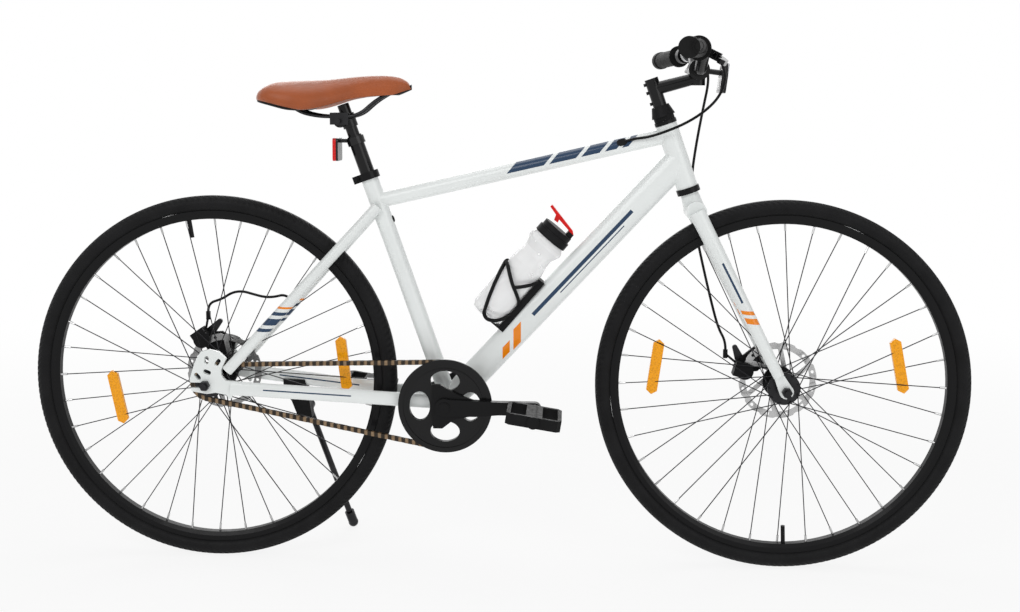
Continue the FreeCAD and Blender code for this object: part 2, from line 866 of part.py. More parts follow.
def link_plate(start, end, inner_face):
    """One side plate between two roller centres: a long octagon."""
    along = unit(end - start)
    above = along.cross(ACROSS)
    long = (end - start).Length / 2 + dim.link_radius
    short = (end - start).Length / 2 + dim.link_radius / 2
    low = dim.link_radius / 2
    middle = (start + end) / 2 + ACROSS * inner_face
    corners = []
    for x, z in ((long, low), (short, dim.link_radius), (-short, dim.link_radius), (-long, low),
                 (-long, -low), (-short, -dim.link_radius), (short, -dim.link_radius), (long, -low)):
        corners.append(middle + along * x + above * z)
    return slab(corners, ACROSS * math.copysign(dim.link_plate, inner_face))


def make_chain():
    """Inner links with their rollers, and outer links whose plates lie flat on them."""
    line = ACROSS * -dim.chain_line
    half = dim.chain_inner_width / 2
    links = []
    count = len(CHAIN_ROLLERS)
    for number in range(count):
        start = CHAIN_ROLLERS[number]
        end = CHAIN_ROLLERS[(number + 1) % count]
        inner = number % 2 == 0
        face = half if inner else half + dim.link_plate
        plates = [link_plate(start, end, face), link_plate(start, end, -face)]
        if inner:
            rollers = [prism_rod(centre - ACROSS * half, centre + ACROSS * half, dim.roller_radius)
                       for centre in (start, end)]
            plates = [plates[0].multiFuse([plates[1]] + rollers)]
        links.extend(plates)
    chain = group(*links)
    chain.translate(line)
    return piece("chain", chain)


# Drivetrain

def toothed_body(label, teeth_alias, pitch, phase, place):
    """A disc with one tooth gap cut and repeated round the axis."""
    pitch_text = f"Sizes.chain_pitch / (2 * sin(180 deg / Sizes.{teeth_alias}))"
    body = new_body(label)
    sketch = body.newObject("Sketcher::SketchObject", label + "_disc")
    sketch.AttachmentSupport = (origin_plane(body, "XY_Plane"), [""])
    sketch.MapMode = "FlatFace"
    sketch.addGeometry(Part.Circle(ORIGIN, UP, pitch + dim.tooth_tip), False)
    sketch.addConstraint(Sketcher.Constraint("Coincident", 0, 3, -1, 1))
    number = sketch.addConstraint(Sketcher.Constraint("Radius", 0, pitch + dim.tooth_tip))
    sketch.setExpression(f"Constraints[{number}]", f"{pitch_text} + Sizes.tooth_tip")
    pad = body.newObject("PartDesign::Pad", label + "_pad")
    pad.Profile = sketch
    pad.setExpression("Length", "Sizes.tooth_thick")
    seat = "Sizes.tooth_seat"
    gap = outline(body, "XY_Plane", [
        (f"{pitch_text} + Sizes.tooth_tip + Sizes.overrun", "-Sizes.tooth_mouth - Sizes.overrun / 2"),
        (f"{pitch_text} + Sizes.tooth_tip", "-Sizes.tooth_mouth"),
        (pitch_text, f"-{seat}"),
        (f"{pitch_text} - {seat} * sin(45 deg)", f"-{seat} * cos(45 deg)"),
        (f"{pitch_text} - {seat}", "0 * Sizes.tooth_seat"),
        (f"{pitch_text} - {seat} * sin(45 deg)", f"{seat} * cos(45 deg)"),
        (pitch_text, seat),
        (f"{pitch_text} + Sizes.tooth_tip", "Sizes.tooth_mouth"),
        (f"{pitch_text} + Sizes.tooth_tip + Sizes.overrun", "Sizes.tooth_mouth + Sizes.overrun / 2"),
    ], label + "_gap")
    cut = body.newObject("PartDesign::Pocket", label + "_cut")
    cut.Profile = gap
    cut.Type = "ThroughAll"
    cut.Midplane = True
    doc.recompute()
    pattern = body.newObject("PartDesign::PolarPattern", label + "_teeth")
    pattern.Originals = [cut]
    pattern.Axis = (origin_plane(body, "Z_Axis"), [""])
    pattern.Angle = 360
    pattern.setExpression("Occurrences", f"Sizes.{teeth_alias}")
    body.Tip = pattern
    turn = FreeCAD.Rotation(ACROSS, -phase).multiply(FreeCAD.Rotation(FreeCAD.Vector(1, 0, 0), -90))
    body.Placement = FreeCAD.Placement(place, turn)
    doc.recompute()
    return body


def ring_windows(depth_start, depth_end):
    """The oval openings that the chainring and its guard share."""
    cutters = []
    count = int(dim.ring_windows)
    for number in range(count):
        angle = 360 * number / count
        middle = BRACKET + turned_in_plane(angle, dim.ring_window_place) + ACROSS * depth_start
        curve = Part.Ellipse(middle + turned_in_plane(angle + 90, dim.ring_window_long),
                             middle + turned_in_plane(angle, dim.ring_window_deep), middle)
        cutters.append(Part.Face(Part.Wire(curve.toShape())).extrude(ACROSS * (depth_end - depth_start)))
    return cutters


GUARD_INNER = dim.chain_line + dim.tooth_thick / 2 + dim.guard_gap
CRANK_INNER = GUARD_INNER + dim.guard_thick
CRANK_MID = CRANK_INNER + dim.crank_thick / 2


def make_chainring():
    """The toothed ring and the round guard bolted to its outer face."""
    place = BRACKET - ACROSS * (dim.chain_line + dim.tooth_thick / 2)
    teeth = toothed_body("chainring_teeth", "chainring_teeth", RING_PITCH, RING_PHASE, place)
    boss = rod(BRACKET, BRACKET - ACROSS * CRANK_MID, dim.crank_boss_radius)
    cutters = ring_windows(-dim.chain_line + dim.overrun, -CRANK_INNER - dim.overrun)
    disc = teeth.Shape.cut(boss)
    guard_in = BRACKET - ACROSS * GUARD_INNER
    guard_out = BRACKET - ACROSS * CRANK_INNER
    spacer_in = BRACKET - ACROSS * (dim.chain_line + dim.tooth_thick / 2)
    guard = rod(guard_in, guard_out, dim.guard_radius)
    hollow_from = guard_in - ACROSS * dim.guard_thick / 2
    hollow = ring(hollow_from, guard_out, dim.guard_radius - dim.guard_lip,
                  dim.ring_window_place + dim.ring_window_deep + dim.guard_lip / 2)
    spacer = ring(spacer_in, guard_in, dim.crank_boss_radius + dim.guard_lip, dim.crank_boss_radius)
    guard = guard.cut(hollow).cut(boss).fuse(spacer)
    for cutter in cutters:
        disc = disc.cut(cutter)
        guard = guard.cut(cutter)
    return piece("chainring", group(disc, guard))


def crank_arm(eye_distance, inner, outward):
    """One arm: a broad shield at the boss that narrows to a bar with a round pedal eye."""
    start = BRACKET + ACROSS * inner * outward
    depth = ACROSS * dim.crank_thick * outward
    far = AHEAD * eye_distance
    ahead = unit(far)
    bar = slab([start + far * x + UP * dim.crank_root_tall * z for x, z in CRANK_SHARES], depth)
    shield = slab([start + ahead * dim.crank_flare * x + UP * dim.crank_flare * z for x, z in SHIELD_SHARES],
                  depth * SHIELD_DEPTH_SHARE)
    arm = bar.multiFuse([shield, rod(start, start + depth, dim.crank_boss_radius),
                         rod(start + far, start + far + depth, dim.crank_tip_tall)])
    return arm.removeSplitter()


CRANK_SHARES = [(0.0, 1.0), (0.35, 0.86), (0.6, 0.77), (1.0, 0.77), (1.0, -0.77), (0.6, -0.77), (0.35, -1.0),
                (0.0, -1.0)]
SHIELD_SHARES = [(-0.55, 1.0), (-0.2, 1.0), (0.6, 0.55), (1.6, 0.2), (1.6, -0.3), (0.4, -0.55), (-0.1, -0.95),
                 (-0.5, -0.95), (-0.62, -0.2)]
SHIELD_DEPTH_SHARE = 0.55


def pedal_axle(eye_distance, outward):
    eye = BRACKET + AHEAD * eye_distance + ACROSS * outward * CRANK_INNER
    end = eye + ACROSS * outward * (dim.crank_thick + dim.pedal_gap + dim.pedal_wide - dim.pedal_cap * 2)
    return rod(eye, end, dim.pedal_axle_radius)


def make_cranks():
    """Both arms on their spindle, with pedal axles and dust caps."""
    spindle = rod(BRACKET - ACROSS * CRANK_MID, BRACKET + ACROSS * CRANK_MID, dim.spindle_radius)
    solids = [spindle]
    for outward, eye_distance in ((-1, dim.crank_length), (1, -dim.crank_length)):
        axle = pedal_axle(eye_distance, outward)
        arm = crank_arm(eye_distance, CRANK_INNER, outward)
        boss_end = BRACKET + ACROSS * outward * (dim.chain_line - dim.tooth_thick / 2)
        boss = rod(boss_end, BRACKET + ACROSS * outward * CRANK_INNER, dim.crank_boss_radius)
        outer = BRACKET + ACROSS * outward * (CRANK_INNER + dim.crank_thick)
        cap = rod(outer, outer + ACROSS * outward * dim.dust_cap_thick, dim.dust_cap_radius)
        solids.extend([arm.fuse(boss).cut(spindle).cut(axle), axle, cap])
    return piece("cranks", group(*solids))


def make_freewheel():
    inner = REAR - ACROSS * dim.freewheel_inner
    outer = REAR - ACROSS * dim.freewheel_outer
    place = REAR - ACROSS * (dim.chain_line + dim.tooth_thick / 2)
    teeth = toothed_body("sprocket_teeth", "sprocket_teeth", SPROCKET_PITCH, SPROCKET_PHASE, place)
    drum = rod(inner, outer, dim.freewheel_radius)
    bore = rod(inner, outer, dim.freewheel_thread + dim.running_fit)
    return piece("freewheel", teeth.Shape.fuse(drum).cut(bore))


# Pedals

def make_pedal(label, eye_distance, outward):
    """A caged platform on a barrel: two toothed side plates, end walls and open windows."""
    inner = CRANK_INNER + dim.crank_thick + dim.pedal_gap
    centre = BRACKET + AHEAD * eye_distance + ACROSS * outward * (inner + dim.pedal_wide / 2)
    frame = block(centre, AHEAD, UP, dim.pedal_long, dim.pedal_wide, dim.pedal_thick)
    corners = [edge for edge in frame.Edges if abs(edge.Length - dim.pedal_thick) < dim.running_fit]
    frame = frame.makeChamfer(dim.pedal_wall, corners)
    window_long = dim.pedal_long / 2 - dim.pedal_barrel - dim.pedal_wall * 1.5
    for side in (-1, 1):
        middle = centre + AHEAD * side * (dim.pedal_barrel + dim.pedal_wall / 2 + window_long / 2)
        frame = frame.cut(block(middle, AHEAD, UP, window_long, dim.pedal_wide - 2 * dim.pedal_wall,
                                dim.pedal_thick + dim.overrun))
    start = centre - ACROSS * outward * dim.pedal_wide / 2
    end = centre + ACROSS * outward * dim.pedal_wide / 2
    frame = frame.fuse(rod(start, end + ACROSS * outward * dim.pedal_cap, dim.pedal_barrel))
    bore_end = end - ACROSS * outward * dim.pedal_cap
    frame = frame.cut(rod(start, bore_end, dim.pedal_axle_radius + dim.running_fit))
    frame.rotate(BRACKET + AHEAD * eye_distance, ACROSS, dim.pedal_tilt)
    return piece(label, frame)


# Wheels

def tyre_profile():
    """The carcass in straight steps: flat tread, swelling flanks and upright beads, open toward the rim."""
    bead = dim.rim_width / 2 - dim.rim_wall
    hook = dim.rim_radius + dim.clearance
    foot = dim.rim_radius - dim.bead_drop
    outer = [(bead, foot), (bead, hook)]
    inner = [(bead - dim.tyre_wall, foot), (bead - dim.tyre_wall, hook + dim.tyre_wall / 2)]
    for wide, tall in TYRE_SHARES:
        outer.append((wide * dim.tyre_width / 2, hook + tall * (TYRE_RADIUS - hook)))
    for wide, tall in TYRE_INNER_SHARES:
        room = TYRE_RADIUS - dim.tyre_wall - hook
        inner.append((wide * (dim.tyre_width / 2 - dim.tyre_wall), hook + tall * room))
    half = [point(0, y, z) for y, z in outer]
    core = [point(0, y, z) for y, z in inner]
    other = [point(0, -corner.y, corner.z) for corner in half[::-1]]
    other_core = [point(0, -corner.y, corner.z) for corner in core]
    return Part.makePolygon(half + other + other_core + core[::-1] + half[:1])


TYRE_SHARES = [(0.87, 0.18), (1.0, 0.42), (0.94, 0.66), (0.74, 0.87), (0.34, 1.0)]
TYRE_INNER_SHARES = [(0.95, 0.4), (0.6, 0.9), (0.3, 1.0)]


def make_tyre(label, centre):
    profile = Part.Face(tyre_profile())
    tyre = profile.revolve(ORIGIN, ACROSS, 360)
    tyre.translate(centre)
    return piece(label, tyre)


VALVE_SHARES = {"rear": 99 / 360, "front": -88 / 360}


RIM_INNER = dim.rim_radius - dim.rim_depth


def make_rim(label, centre, valve_share):
    half = "Sizes.rim_width / 2"
    bed = "(Sizes.rim_width / 2 - Sizes.rim_wall)"
    seat = "Sizes.rim_radius - Sizes.bead_drop - Sizes.clearance"
    well = f"{seat} - Sizes.rim_well"
    bed_half = "Sizes.rim_bed_width / 2"
    inner = "Sizes.rim_radius - Sizes.rim_depth"
    corners = [("Sizes.rim_radius", half), (f"{inner} + Sizes.rim_well * 2", half), (inner, bed_half),
               (inner, f"-{bed_half}"), (f"{inner} + Sizes.rim_well * 2", f"-{half}"),
               ("Sizes.rim_radius", f"-{half}"), ("Sizes.rim_radius", f"-{bed}"), (seat, f"-{bed}"),
               (well, f"-{bed_half} / 2"), (well, f"{bed_half} / 2"), (seat, bed), ("Sizes.rim_radius", bed)]
    body = turned_body(label + "_hoop", corners, centre, ACROSS)
    doc.recompute()
    angle = 360 * valve_share
    start = centre + turned_in_plane(angle, RIM_INNER)
    end = centre + turned_in_plane(angle, RIM_INNER - dim.valve_length)
    valve = rod(start, end, dim.valve_radius)
    return piece(label, group(body.Shape.copy(), valve.cut(body.Shape)))


def spoke_lines(centre, left_place, right_place):
    """Hub and rim ends of each spoke: every second one is outside its flange and leans back."""
    lines = []
    per_side = int(dim.spoke_count / 2)
    step = 360 / per_side
    for side, place in ((1, left_place), (-1, right_place)):
        for number in range(per_side):
            outside = number % 2 == 1
            lean = side if outside else -side
            angle = step * number + (step / 2 if side > 0 else 0)
            off = dim.flange_thick / 2 + dim.spoke_head_gap + (dim.spoke_edge_gap if outside else 0)
            head = ACROSS * side * (place + (off if outside else -off))
            hub_end = centre + turned_in_plane(angle, dim.flange_hole_radius) + head
            rim_end = centre + turned_in_plane(angle + lean * dim.spoke_crossing, RIM_INNER - dim.clearance)
            rim_end = rim_end + ACROSS * side * dim.rim_bed_width / 4
            lines.append((hub_end, rim_end))
    return lines


def make_spokes(label, lines):
    return piece(label, group(*[prism_rod(hub_end, rim_end, dim.spoke_radius) for hub_end, rim_end in lines]))


WHEEL_REFLECTOR_SHARES = {"rear": [(0.5565, 192), (0.713, 7)], "front": [(0.6841, 172), (0.6261, 11)]}


def make_wheel_reflectors(label, centre, places, lines):
    """Reflectors laid along the rim's direction, grooved where they clip on to the right-hand spokes."""
    solids = []
    grooves = [rod(start, end, dim.spoke_radius + dim.clearance / 2) for start, end in lines]
    for radius_share, angle in places:
        outward = turned_in_plane(angle)
        along = turned_in_plane(angle + 90)
        radius = radius_share * TYRE_RADIUS
        middle = centre + outward * radius
        long = along * dim.wheel_reflector_long / 2
        wide = outward * dim.wheel_reflector_wide / 2
        near = ACROSS * -dim.front_flange_place * (1 - radius / RIM_INNER)
        corners = [middle + long, middle + long * END_SHARE + wide, middle - long * END_SHARE + wide,
                   middle - long, middle - long * END_SHARE - wide, middle + long * END_SHARE - wide]
        plate = slab([corner + near - ACROSS * dim.wheel_reflector_thick / 2 for corner in corners],
                     ACROSS * dim.wheel_reflector_thick)
        solids.append(largest(plate.cut(grooves)))
    return piece(label, group(*solids))


END_SHARE = 0.86


def make_hub(label, centre, radius, axle_radius, left_flange, right_flange, rotor_place, right_end, thread=None):
    """Shell, two flanges and the boss that carries the rotor; the rear one also has the freewheel thread."""
    def at(y):
        return centre + ACROSS * y

    shell = rod(at(-right_flange), at(rotor_place), radius)
    for y in (left_flange, -right_flange):
        half = ACROSS * dim.flange_thick / 2
        shell = shell.fuse(rod(at(y) - half, at(y) + half, dim.flange_radius))
    shell = shell.fuse(rod(at(rotor_place - dim.rotor_seat), at(rotor_place), dim.rotor_hub_radius))
    shell = shell.fuse(rod(at(rotor_place), at(rotor_place + dim.rotor_thick), dim.rotor_bore))
    shell = shell.fuse(rod(at(-right_end), at(-right_flange), thread if thread else radius))
    return piece(label, shell.cut(rod(at(-right_end), at(rotor_place + dim.rotor_thick),
                                      axle_radius + dim.running_fit)))


def make_rotor(label, centre, place):
    """A scalloped braking band on slanted arms round a bolt ring."""
    inner = centre + ACROSS * place
    outer = inner + ACROSS * dim.rotor_thick
    band = ring(inner, outer, dim.rotor_radius, dim.rotor_radius - dim.rotor_band)
    hub = ring(inner, outer, dim.rotor_hub_radius, dim.rotor_bore + dim.running_fit)
    scallops = int(dim.rotor_scallops)
    for number in range(scallops):
        angle = 360 * number / scallops
        notch = inner + turned_in_plane(angle, dim.rotor_radius + dim.rotor_scallop * 2)
        band = band.cut(rod(notch, notch + ACROSS * dim.rotor_thick, dim.rotor_scallop * 2.6))
        hole = inner + turned_in_plane(angle + 180 / scallops, dim.rotor_radius - dim.rotor_band / 2)
        band = band.cut(rod(hole, hole + ACROSS * dim.rotor_thick, dim.rotor_slot))
    rotor = band.fuse(hub)
    arms = int(dim.rotor_arms)
    for number in range(arms):
        angle = 360 * number / arms
        start = inner + turned_in_plane(angle, dim.rotor_hub_radius - dim.rotor_slot)
        end = inner + turned_in_plane(angle + 360 / arms * ROTOR_LEAN_SHARE,
                                      dim.rotor_radius - dim.rotor_band + dim.rotor_slot)
        side = unit((end - start).cross(ACROSS)) * dim.rotor_arm / 2
        rotor = rotor.fuse(slab([start + side, end + side, end - side, start - side], outer - inner))
        bolt = inner + turned_in_plane(angle, (dim.rotor_hub_radius + dim.rotor_bore) / 2)
        rotor = rotor.cut(rod(bolt, bolt + ACROSS * dim.rotor_thick, dim.rotor_slot * ROTOR_BOLT_SHARE))
    return piece(label, rotor)


ROTOR_LEAN_SHARE = 0.45
ROTOR_BOLT_SHARE = 0.8


def make_axle(label, centre, radius, face, plate, left_hub_end, right_hub_end):
    """Axle with its cones against the hub ends and a nut outside each plate."""
    half = face + plate + dim.nut_length + dim.axle_tail
    axle = rod(centre - ACROSS * half, centre + ACROSS * half, radius)
    left = rod(centre + ACROSS * (left_hub_end + dim.clearance), centre + ACROSS * face, dim.cone_radius)
    right = rod(centre - ACROSS * face, centre - ACROSS * (right_hub_end + dim.clearance), dim.cone_radius)
    solids = [axle.fuse(left).fuse(right)]
    for side in (-1, 1):
        start = centre + ACROSS * side * (face + plate)
        nut = prism_rod(start, start + ACROSS * side * dim.nut_length, dim.nut_radius)
        solids.append(nut.cut(axle))
    return piece(label, group(*solids))


# Fork and cockpit

def fork_crown_solid():
    low = on_head(-dim.crown_height)
    neck = cone(low, on_head(0), dim.crown_radius, dim.steerer_radius + dim.leg_wall)
    half = ACROSS * dim.crown_spread
    shoulder = rod(low - half, low + half, dim.crown_tall)
    return neck.fuse(shoulder)


def fork_leg(side):
    """A tapered oval leg, ending in a plate with an open axle slot."""
    top = on_head(-dim.crown_height) + ACROSS * side * dim.crown_spread
    middle_y = FRONT_FACE + dim.fork_end_thick / 2
    leg_axis = unit(FRONT - on_head(-dim.crown_height))
    foot = FRONT - leg_axis * dim.fork_end_rise + ACROSS * side * (middle_y + dim.leg_foot_radius / 4)
    outer = cone(top, foot, dim.leg_top_radius, dim.leg_foot_radius)
    inner_face = FRONT + ACROSS * side * FRONT_FACE
    thickness = ACROSS * side * dim.fork_end_thick
    sideways = unit(leg_axis.cross(ACROSS))
    high = inner_face - leg_axis * (dim.fork_end_rise + dim.overrun)
    narrow = sideways * dim.leg_foot_radius * FORK_END_SHARE
    round_half = sideways * dim.fork_end_radius
    plate = slab([high + narrow, inner_face + round_half, inner_face - round_half, high - narrow], thickness)
    plate = plate.fuse(rod(inner_face, inner_face + thickness, dim.fork_end_radius))
    slot_radius = dim.front_axle_radius + dim.running_fit
    slot = rod(inner_face, inner_face + thickness, slot_radius)
    drop = leg_axis * dim.fork_end_radius * 2
    slot = slot.fuse(slab([inner_face + sideways * slot_radius, inner_face + sideways * slot_radius + drop,
                           inner_face - sideways * slot_radius + drop, inner_face - sideways * slot_radius],
                          thickness))
    return outer.fuse(plate).cut(slot)


FORK_END_SHARE = 0.8


def make_fork():
    """Crown with its steerer, and two legs that meet it."""
    crown = fork_crown_solid()
    steerer = rod(on_head(0), on_head(STEERER_TOP), dim.steerer_radius)
    bore = rod(on_head(-dim.crown_height / 2), on_head(STEERER_TOP), dim.steerer_bore)
    tyre_room = Part.makeCylinder(TYRE_RADIUS + dim.overrun, dim.tyre_width + dim.overrun,
                                  FRONT - ACROSS * (dim.tyre_width + dim.overrun) / 2, ACROSS)
    crown = crown.fuse(steerer).cut(bore).cut(tyre_room)
    legs = [largest(fork_leg(side).cut(fork_crown_solid()).cut(tyre_room)) for side in (-1, 1)]
    return piece("fork", group(largest(crown), *legs))


def make_headset_cover():
    """A narrow ring under a skirted cone."""
    low = on_head(COVER_LOW)
    band = on_head(COVER_LOW + dim.cover_ring_height)
    high = on_head(COVER_HIGH)
    cover = rod(low, band, dim.cover_ring_radius).fuse(cone(band, high, dim.cover_radius, dim.cover_top_radius))
    return piece("headset_cover", cover.cut(rod(low, high, dim.steerer_radius + dim.running_fit)))


def make_stem():
    """A quill stem: column, rising arm, bar clamp and the barrel of its binder bolt."""
    low = on_head(STEERER_TOP - dim.quill_insert)
    column = rod(low, on_head(STEM_HIGH), dim.quill_radius)
    column = column.fuse(rod(on_head(COVER_HIGH), on_head(STEM_HIGH), dim.stem_radius))
    barrel_low = BAR - UP * dim.stem_barrel_drop
    arm_end = BAR - UP * dim.stem_barrel_drop / 2
    arm = cone(on_head(STEM_JOIN), arm_end, dim.stem_arm_radius, dim.stem_arm_radius - dim.tube_wall)
    half = ACROSS * dim.bar_clamp_width / 2
    clamp = rod(BAR - half, BAR + half, dim.bar_clamp_radius).fuse(rod(barrel_low, BAR, dim.stem_barrel_radius))
    bore = rod(BAR - half, BAR + half, dim.bar_clamp_bulge)
    stem = column.fuse(arm).fuse(clamp).cut(bore)
    solids = [stem]
    for share in STEM_BOLT_SHARES:
        place = on_head(COVER_HIGH + dim.stem_column * share) - HEAD_AHEAD * dim.stem_radius
        bolt = rod(place + HEAD_AHEAD * dim.stem_bolt_length, place - HEAD_AHEAD * dim.stem_bolt_length,
                   dim.stem_bolt_radius)
        solids.append(bolt.cut(stem))
    return piece("stem", group(*solids))


STEM_BOLT_SHARES = [0.15, 0.55, 0.85]


def bar_points(side):
    knee = BAR + ACROSS * side * dim.bar_knee + UP * dim.bar_rise
    end = BAR + point(-dim.bar_sweep, side * dim.bar_half_width, dim.bar_rise - dim.bar_end_drop)
    return [BAR + ACROSS * side * dim.bar_flat, knee, end]


def grip_line(side):
    """The straight outer stretch of the bar: its end and the direction inward."""
    flat, knee, end = bar_points(side)
    return end, unit(knee - end)


def make_handlebar():
    left = bar_points(1)
    right = bar_points(-1)
    route = right[::-1] + left
    tube = bent_rod(route, dim.bar_radius, dim.bar_bend)
    inner = bent_rod(route, dim.bar_radius - dim.bar_wall, dim.bar_bend)
    half = ACROSS * (dim.bar_clamp_width / 2 + dim.overrun)
    bulge = rod(BAR - half, BAR + half, dim.bar_clamp_bulge - dim.running_fit)
    return piece("handlebar", tube.fuse(bulge).cut(inner))


def grip_solid(side):
    end, inward = grip_line(side)
    outer_end = end - inward * dim.grip_end
    start = end + inward * dim.grip_length
    grip = rod(outer_end, start, dim.grip_radius)
    grip = grip.fuse(rod(outer_end, end + inward * dim.grip_cap, dim.grip_cap_radius))
    grip = grip.fuse(rod(start - inward * dim.grip_flange, start, dim.grip_flange_radius))
    return grip.cut(rod(end, start, dim.bar_radius + dim.running_fit))


def make_grips():
    return piece("grips", group(grip_solid(-1), grip_solid(1)))


def lever_frame(side):
    """Where a brake lever sits: bar point, outward, reach and hinge directions."""
    end, inward = grip_line(side)
    share = (dim.grip_length + dim.lever_setback) / abs(inward.y)
    place = end + inward * share
    outward = inward * -1
    reach = turned_in_plane(-dim.lever_droop)
    reach = unit(reach - outward * reach.dot(outward))
    hinge = unit(outward.cross(reach)) * side * -1
    return place, outward, reach, hinge


def lever_bracket(side):
    place, outward, reach, hinge = lever_frame(side)
    half = outward * dim.lever_clamp_width / 2
    bore = dim.bar_radius + dim.running_fit
    radius = bore + dim.lever_clamp_wall
    tall = dim.lever_gap + 2 * dim.lever_ear
    pivot = place + reach * dim.lever_offset
    ears = block(place + reach * (dim.lever_offset + dim.lever_eye) / 2, reach, hinge,
                 dim.lever_offset + dim.lever_eye, dim.lever_clamp_width, tall)
    bracket = rod(place - half, place + half, radius).fuse(ears).cut(rod(place - half, place + half, bore))
    slot = block(pivot + reach * dim.lever_eye, reach, hinge, 4 * dim.lever_eye + dim.clearance,
                 dim.lever_clamp_width * 2, dim.lever_gap)
    pin = rod(pivot - hinge * tall / 2, pivot + hinge * tall / 2, dim.lever_pin_radius)
    barrel_start = place - half + reach * dim.lever_barrel_reach
    barrel = rod(barrel_start, barrel_start - outward * dim.barrel_length, dim.barrel_radius)
    return group(bracket.cut(slot).cut(pin).fuse(barrel), pin)


def make_lever_brackets():
    return piece("lever_brackets", group(lever_bracket(-1), lever_bracket(1)))


LEVER_SHARES = [(-0.03, 0.16), (0.10, 0.42), (0.40, 0.86), (0.72, 1.0), (1.0, 0.96)]


def make_lever(label, side):
    """A bowed two-finger blade with a rounded tip, bored for its pin."""
    place, outward, reach, hinge = lever_frame(side)
    pivot = place + reach * dim.lever_offset
    base = pivot - hinge * dim.lever_thick / 2
    thickness = hinge * dim.lever_thick
    spine = [base + outward * dim.lever_reach * x + reach * dim.lever_bow * y for x, y in LEVER_SHARES]
    lever = rod(base, base + thickness, dim.lever_eye)
    half = dim.lever_tip
    before = base
    for here in spine:
        sideways = unit((here - before).cross(hinge)) * half
        lever = lever.fuse(slab([before + sideways, here + sideways, here - sideways, before - sideways], thickness))
        lever = lever.fuse(rod(here, here + thickness, half))
        before = here
    lever = lever.cut(rod(base, base + thickness, dim.lever_pin_radius + dim.running_fit))
    return piece(label, lever.removeSplitter())


def make_front_reflector():
    """A lens housing held ahead of the bar by a short bracket."""
    out = turned_in_plane(-LENS_TILT_SHARE * 90)
    upright = turned_in_plane(90 - LENS_TILT_SHARE * 90)
    start = BAR + out * dim.bar_clamp_radius
    face = start + out * dim.front_reflector_reach
    lens_centre = face + out * dim.front_reflector_thick / 2 - upright * dim.front_reflector_tall / 6
    lens = block(lens_centre, out, upright, dim.front_reflector_thick, dim.front_reflector_wide,
                 dim.front_reflector_tall)
    corners = [edge for edge in lens.Edges if abs(edge.Length - dim.front_reflector_thick) < dim.running_fit]
    lens = lens.makeFillet(dim.front_reflector_thick / 2, corners)
    stalk = rod(BAR, face, dim.bracket_radius).cut(rod(BAR - ACROSS * dim.bar_clamp_width / 2,
                                                       BAR + ACROSS * dim.bar_clamp_width / 2,
                                                       dim.bar_clamp_radius))
    return piece("front_reflector", group(lens, stalk))


LENS_TILT_SHARE = 0.08


def bell_frame():
    """Where the bell sits on the left half of the bar: place, inward and outward-from-bar directions."""
    end, inward = grip_line(1)
    place = end + inward * (dim.grip_length + dim.lever_setback + dim.bell_gap) / abs(inward.y)
    lift = turned_in_plane(180 - BELL_TILT_SHARE * 90)
    lift = unit(lift - inward * lift.dot(inward))
    return place, inward, lift


BELL_TILT_SHARE = 1.5


def make_bell_body():
    """A clamp band, a stalk and a thin dome that opens toward the stalk."""
    place, inward, lift = bell_frame()
    half = inward * dim.bell_clamp_width / 2
    bore = dim.bar_radius + dim.running_fit
    radius = bore + dim.bell_clamp_wall
    foot = place + lift * radius
    top = foot + lift * dim.bell_stalk
    band = rod(place - half, place + half, radius)
    stalk = rod(place, top + lift * dim.bell_depth, dim.bell_stalk / 2)
    crown = top + lift * dim.bell_depth * BELL_ROUND_SHARE
    dome = rod(top, crown, dim.bell_radius)
    dome = dome.fuse(cone(crown, top + lift * dim.bell_depth, dim.bell_radius, dim.bell_radius * BELL_ROUND_SHARE))
    hollow = rod(top, top + lift * (dim.bell_depth - dim.bell_wall * 2), dim.bell_radius - dim.bell_wall * 2)
    body = band.fuse(stalk).fuse(dome.cut(hollow)).cut(rod(place - half, place + half, bore))
    return piece("bell_body", body)


BELL_ROUND_SHARE = 0.6


def make_bell_lever():
    """A thumb lever that turns on the bell's stalk, under the dome."""
    place, inward, lift = bell_frame()
    radius = dim.bar_radius + dim.running_fit + dim.bell_clamp_wall
    low = place + lift * (radius + dim.clearance)
    thickness = lift * dim.bell_lever_thick
    eye = rod(low, low + thickness, dim.bell_stalk / 2 + dim.bell_wall * 2)
    side = unit(lift.cross(inward))
    half = inward * dim.bell_lever_wide / 2
    far = side * dim.bell_lever_long
    blade = slab([low + half, low + half + far, low - half + far, low - half], thickness)
    lever = eye.fuse(blade).cut(rod(low, low + thickness, dim.bell_stalk / 2 + dim.running_fit))
    return piece("bell_lever", lever)


# Saddle and seatpost

def make_seatpost():
    """The post, its narrow top, and the clamp band whose lug carries the saddle's bolt."""
    low = SEAT_TOP - SEAT_AXIS * dim.post_insert
    step = SEAT_TOP + SEAT_AXIS * dim.post_rise
    high = SEAT_TOP + SEAT_AXIS * (dim.clip_height + dim.post_tip)
    tube = ring(low, step, dim.post_radius, dim.post_radius - dim.post_wall)
    neck = rod(step - SEAT_AXIS * dim.post_wall * 2, high, dim.post_neck_radius)
    band_middle = SEAT_TOP + SEAT_AXIS * dim.clip_height
    half_band = SEAT_AXIS * dim.clip_radius
    band = rod(band_middle - half_band, band_middle + half_band, dim.post_neck_radius + dim.strap_wall)
    half = ACROSS * dim.clip_width / 2
    lug = rod(SADDLE_PIVOT - half, SADDLE_PIVOT + half, dim.clip_radius)
    bore = rod(SADDLE_PIVOT - half, SADDLE_PIVOT + half, dim.clip_bolt_radius + dim.running_fit)
    return piece("seatpost", tube.multiFuse([neck, band, lug]).cut(bore))


SADDLE_PIVOT = SEAT_TOP + SEAT_AXIS * dim.clip_height - AHEAD * dim.clip_setback
SADDLE_LOW = SADDLE_PIVOT.z + dim.saddle_rise


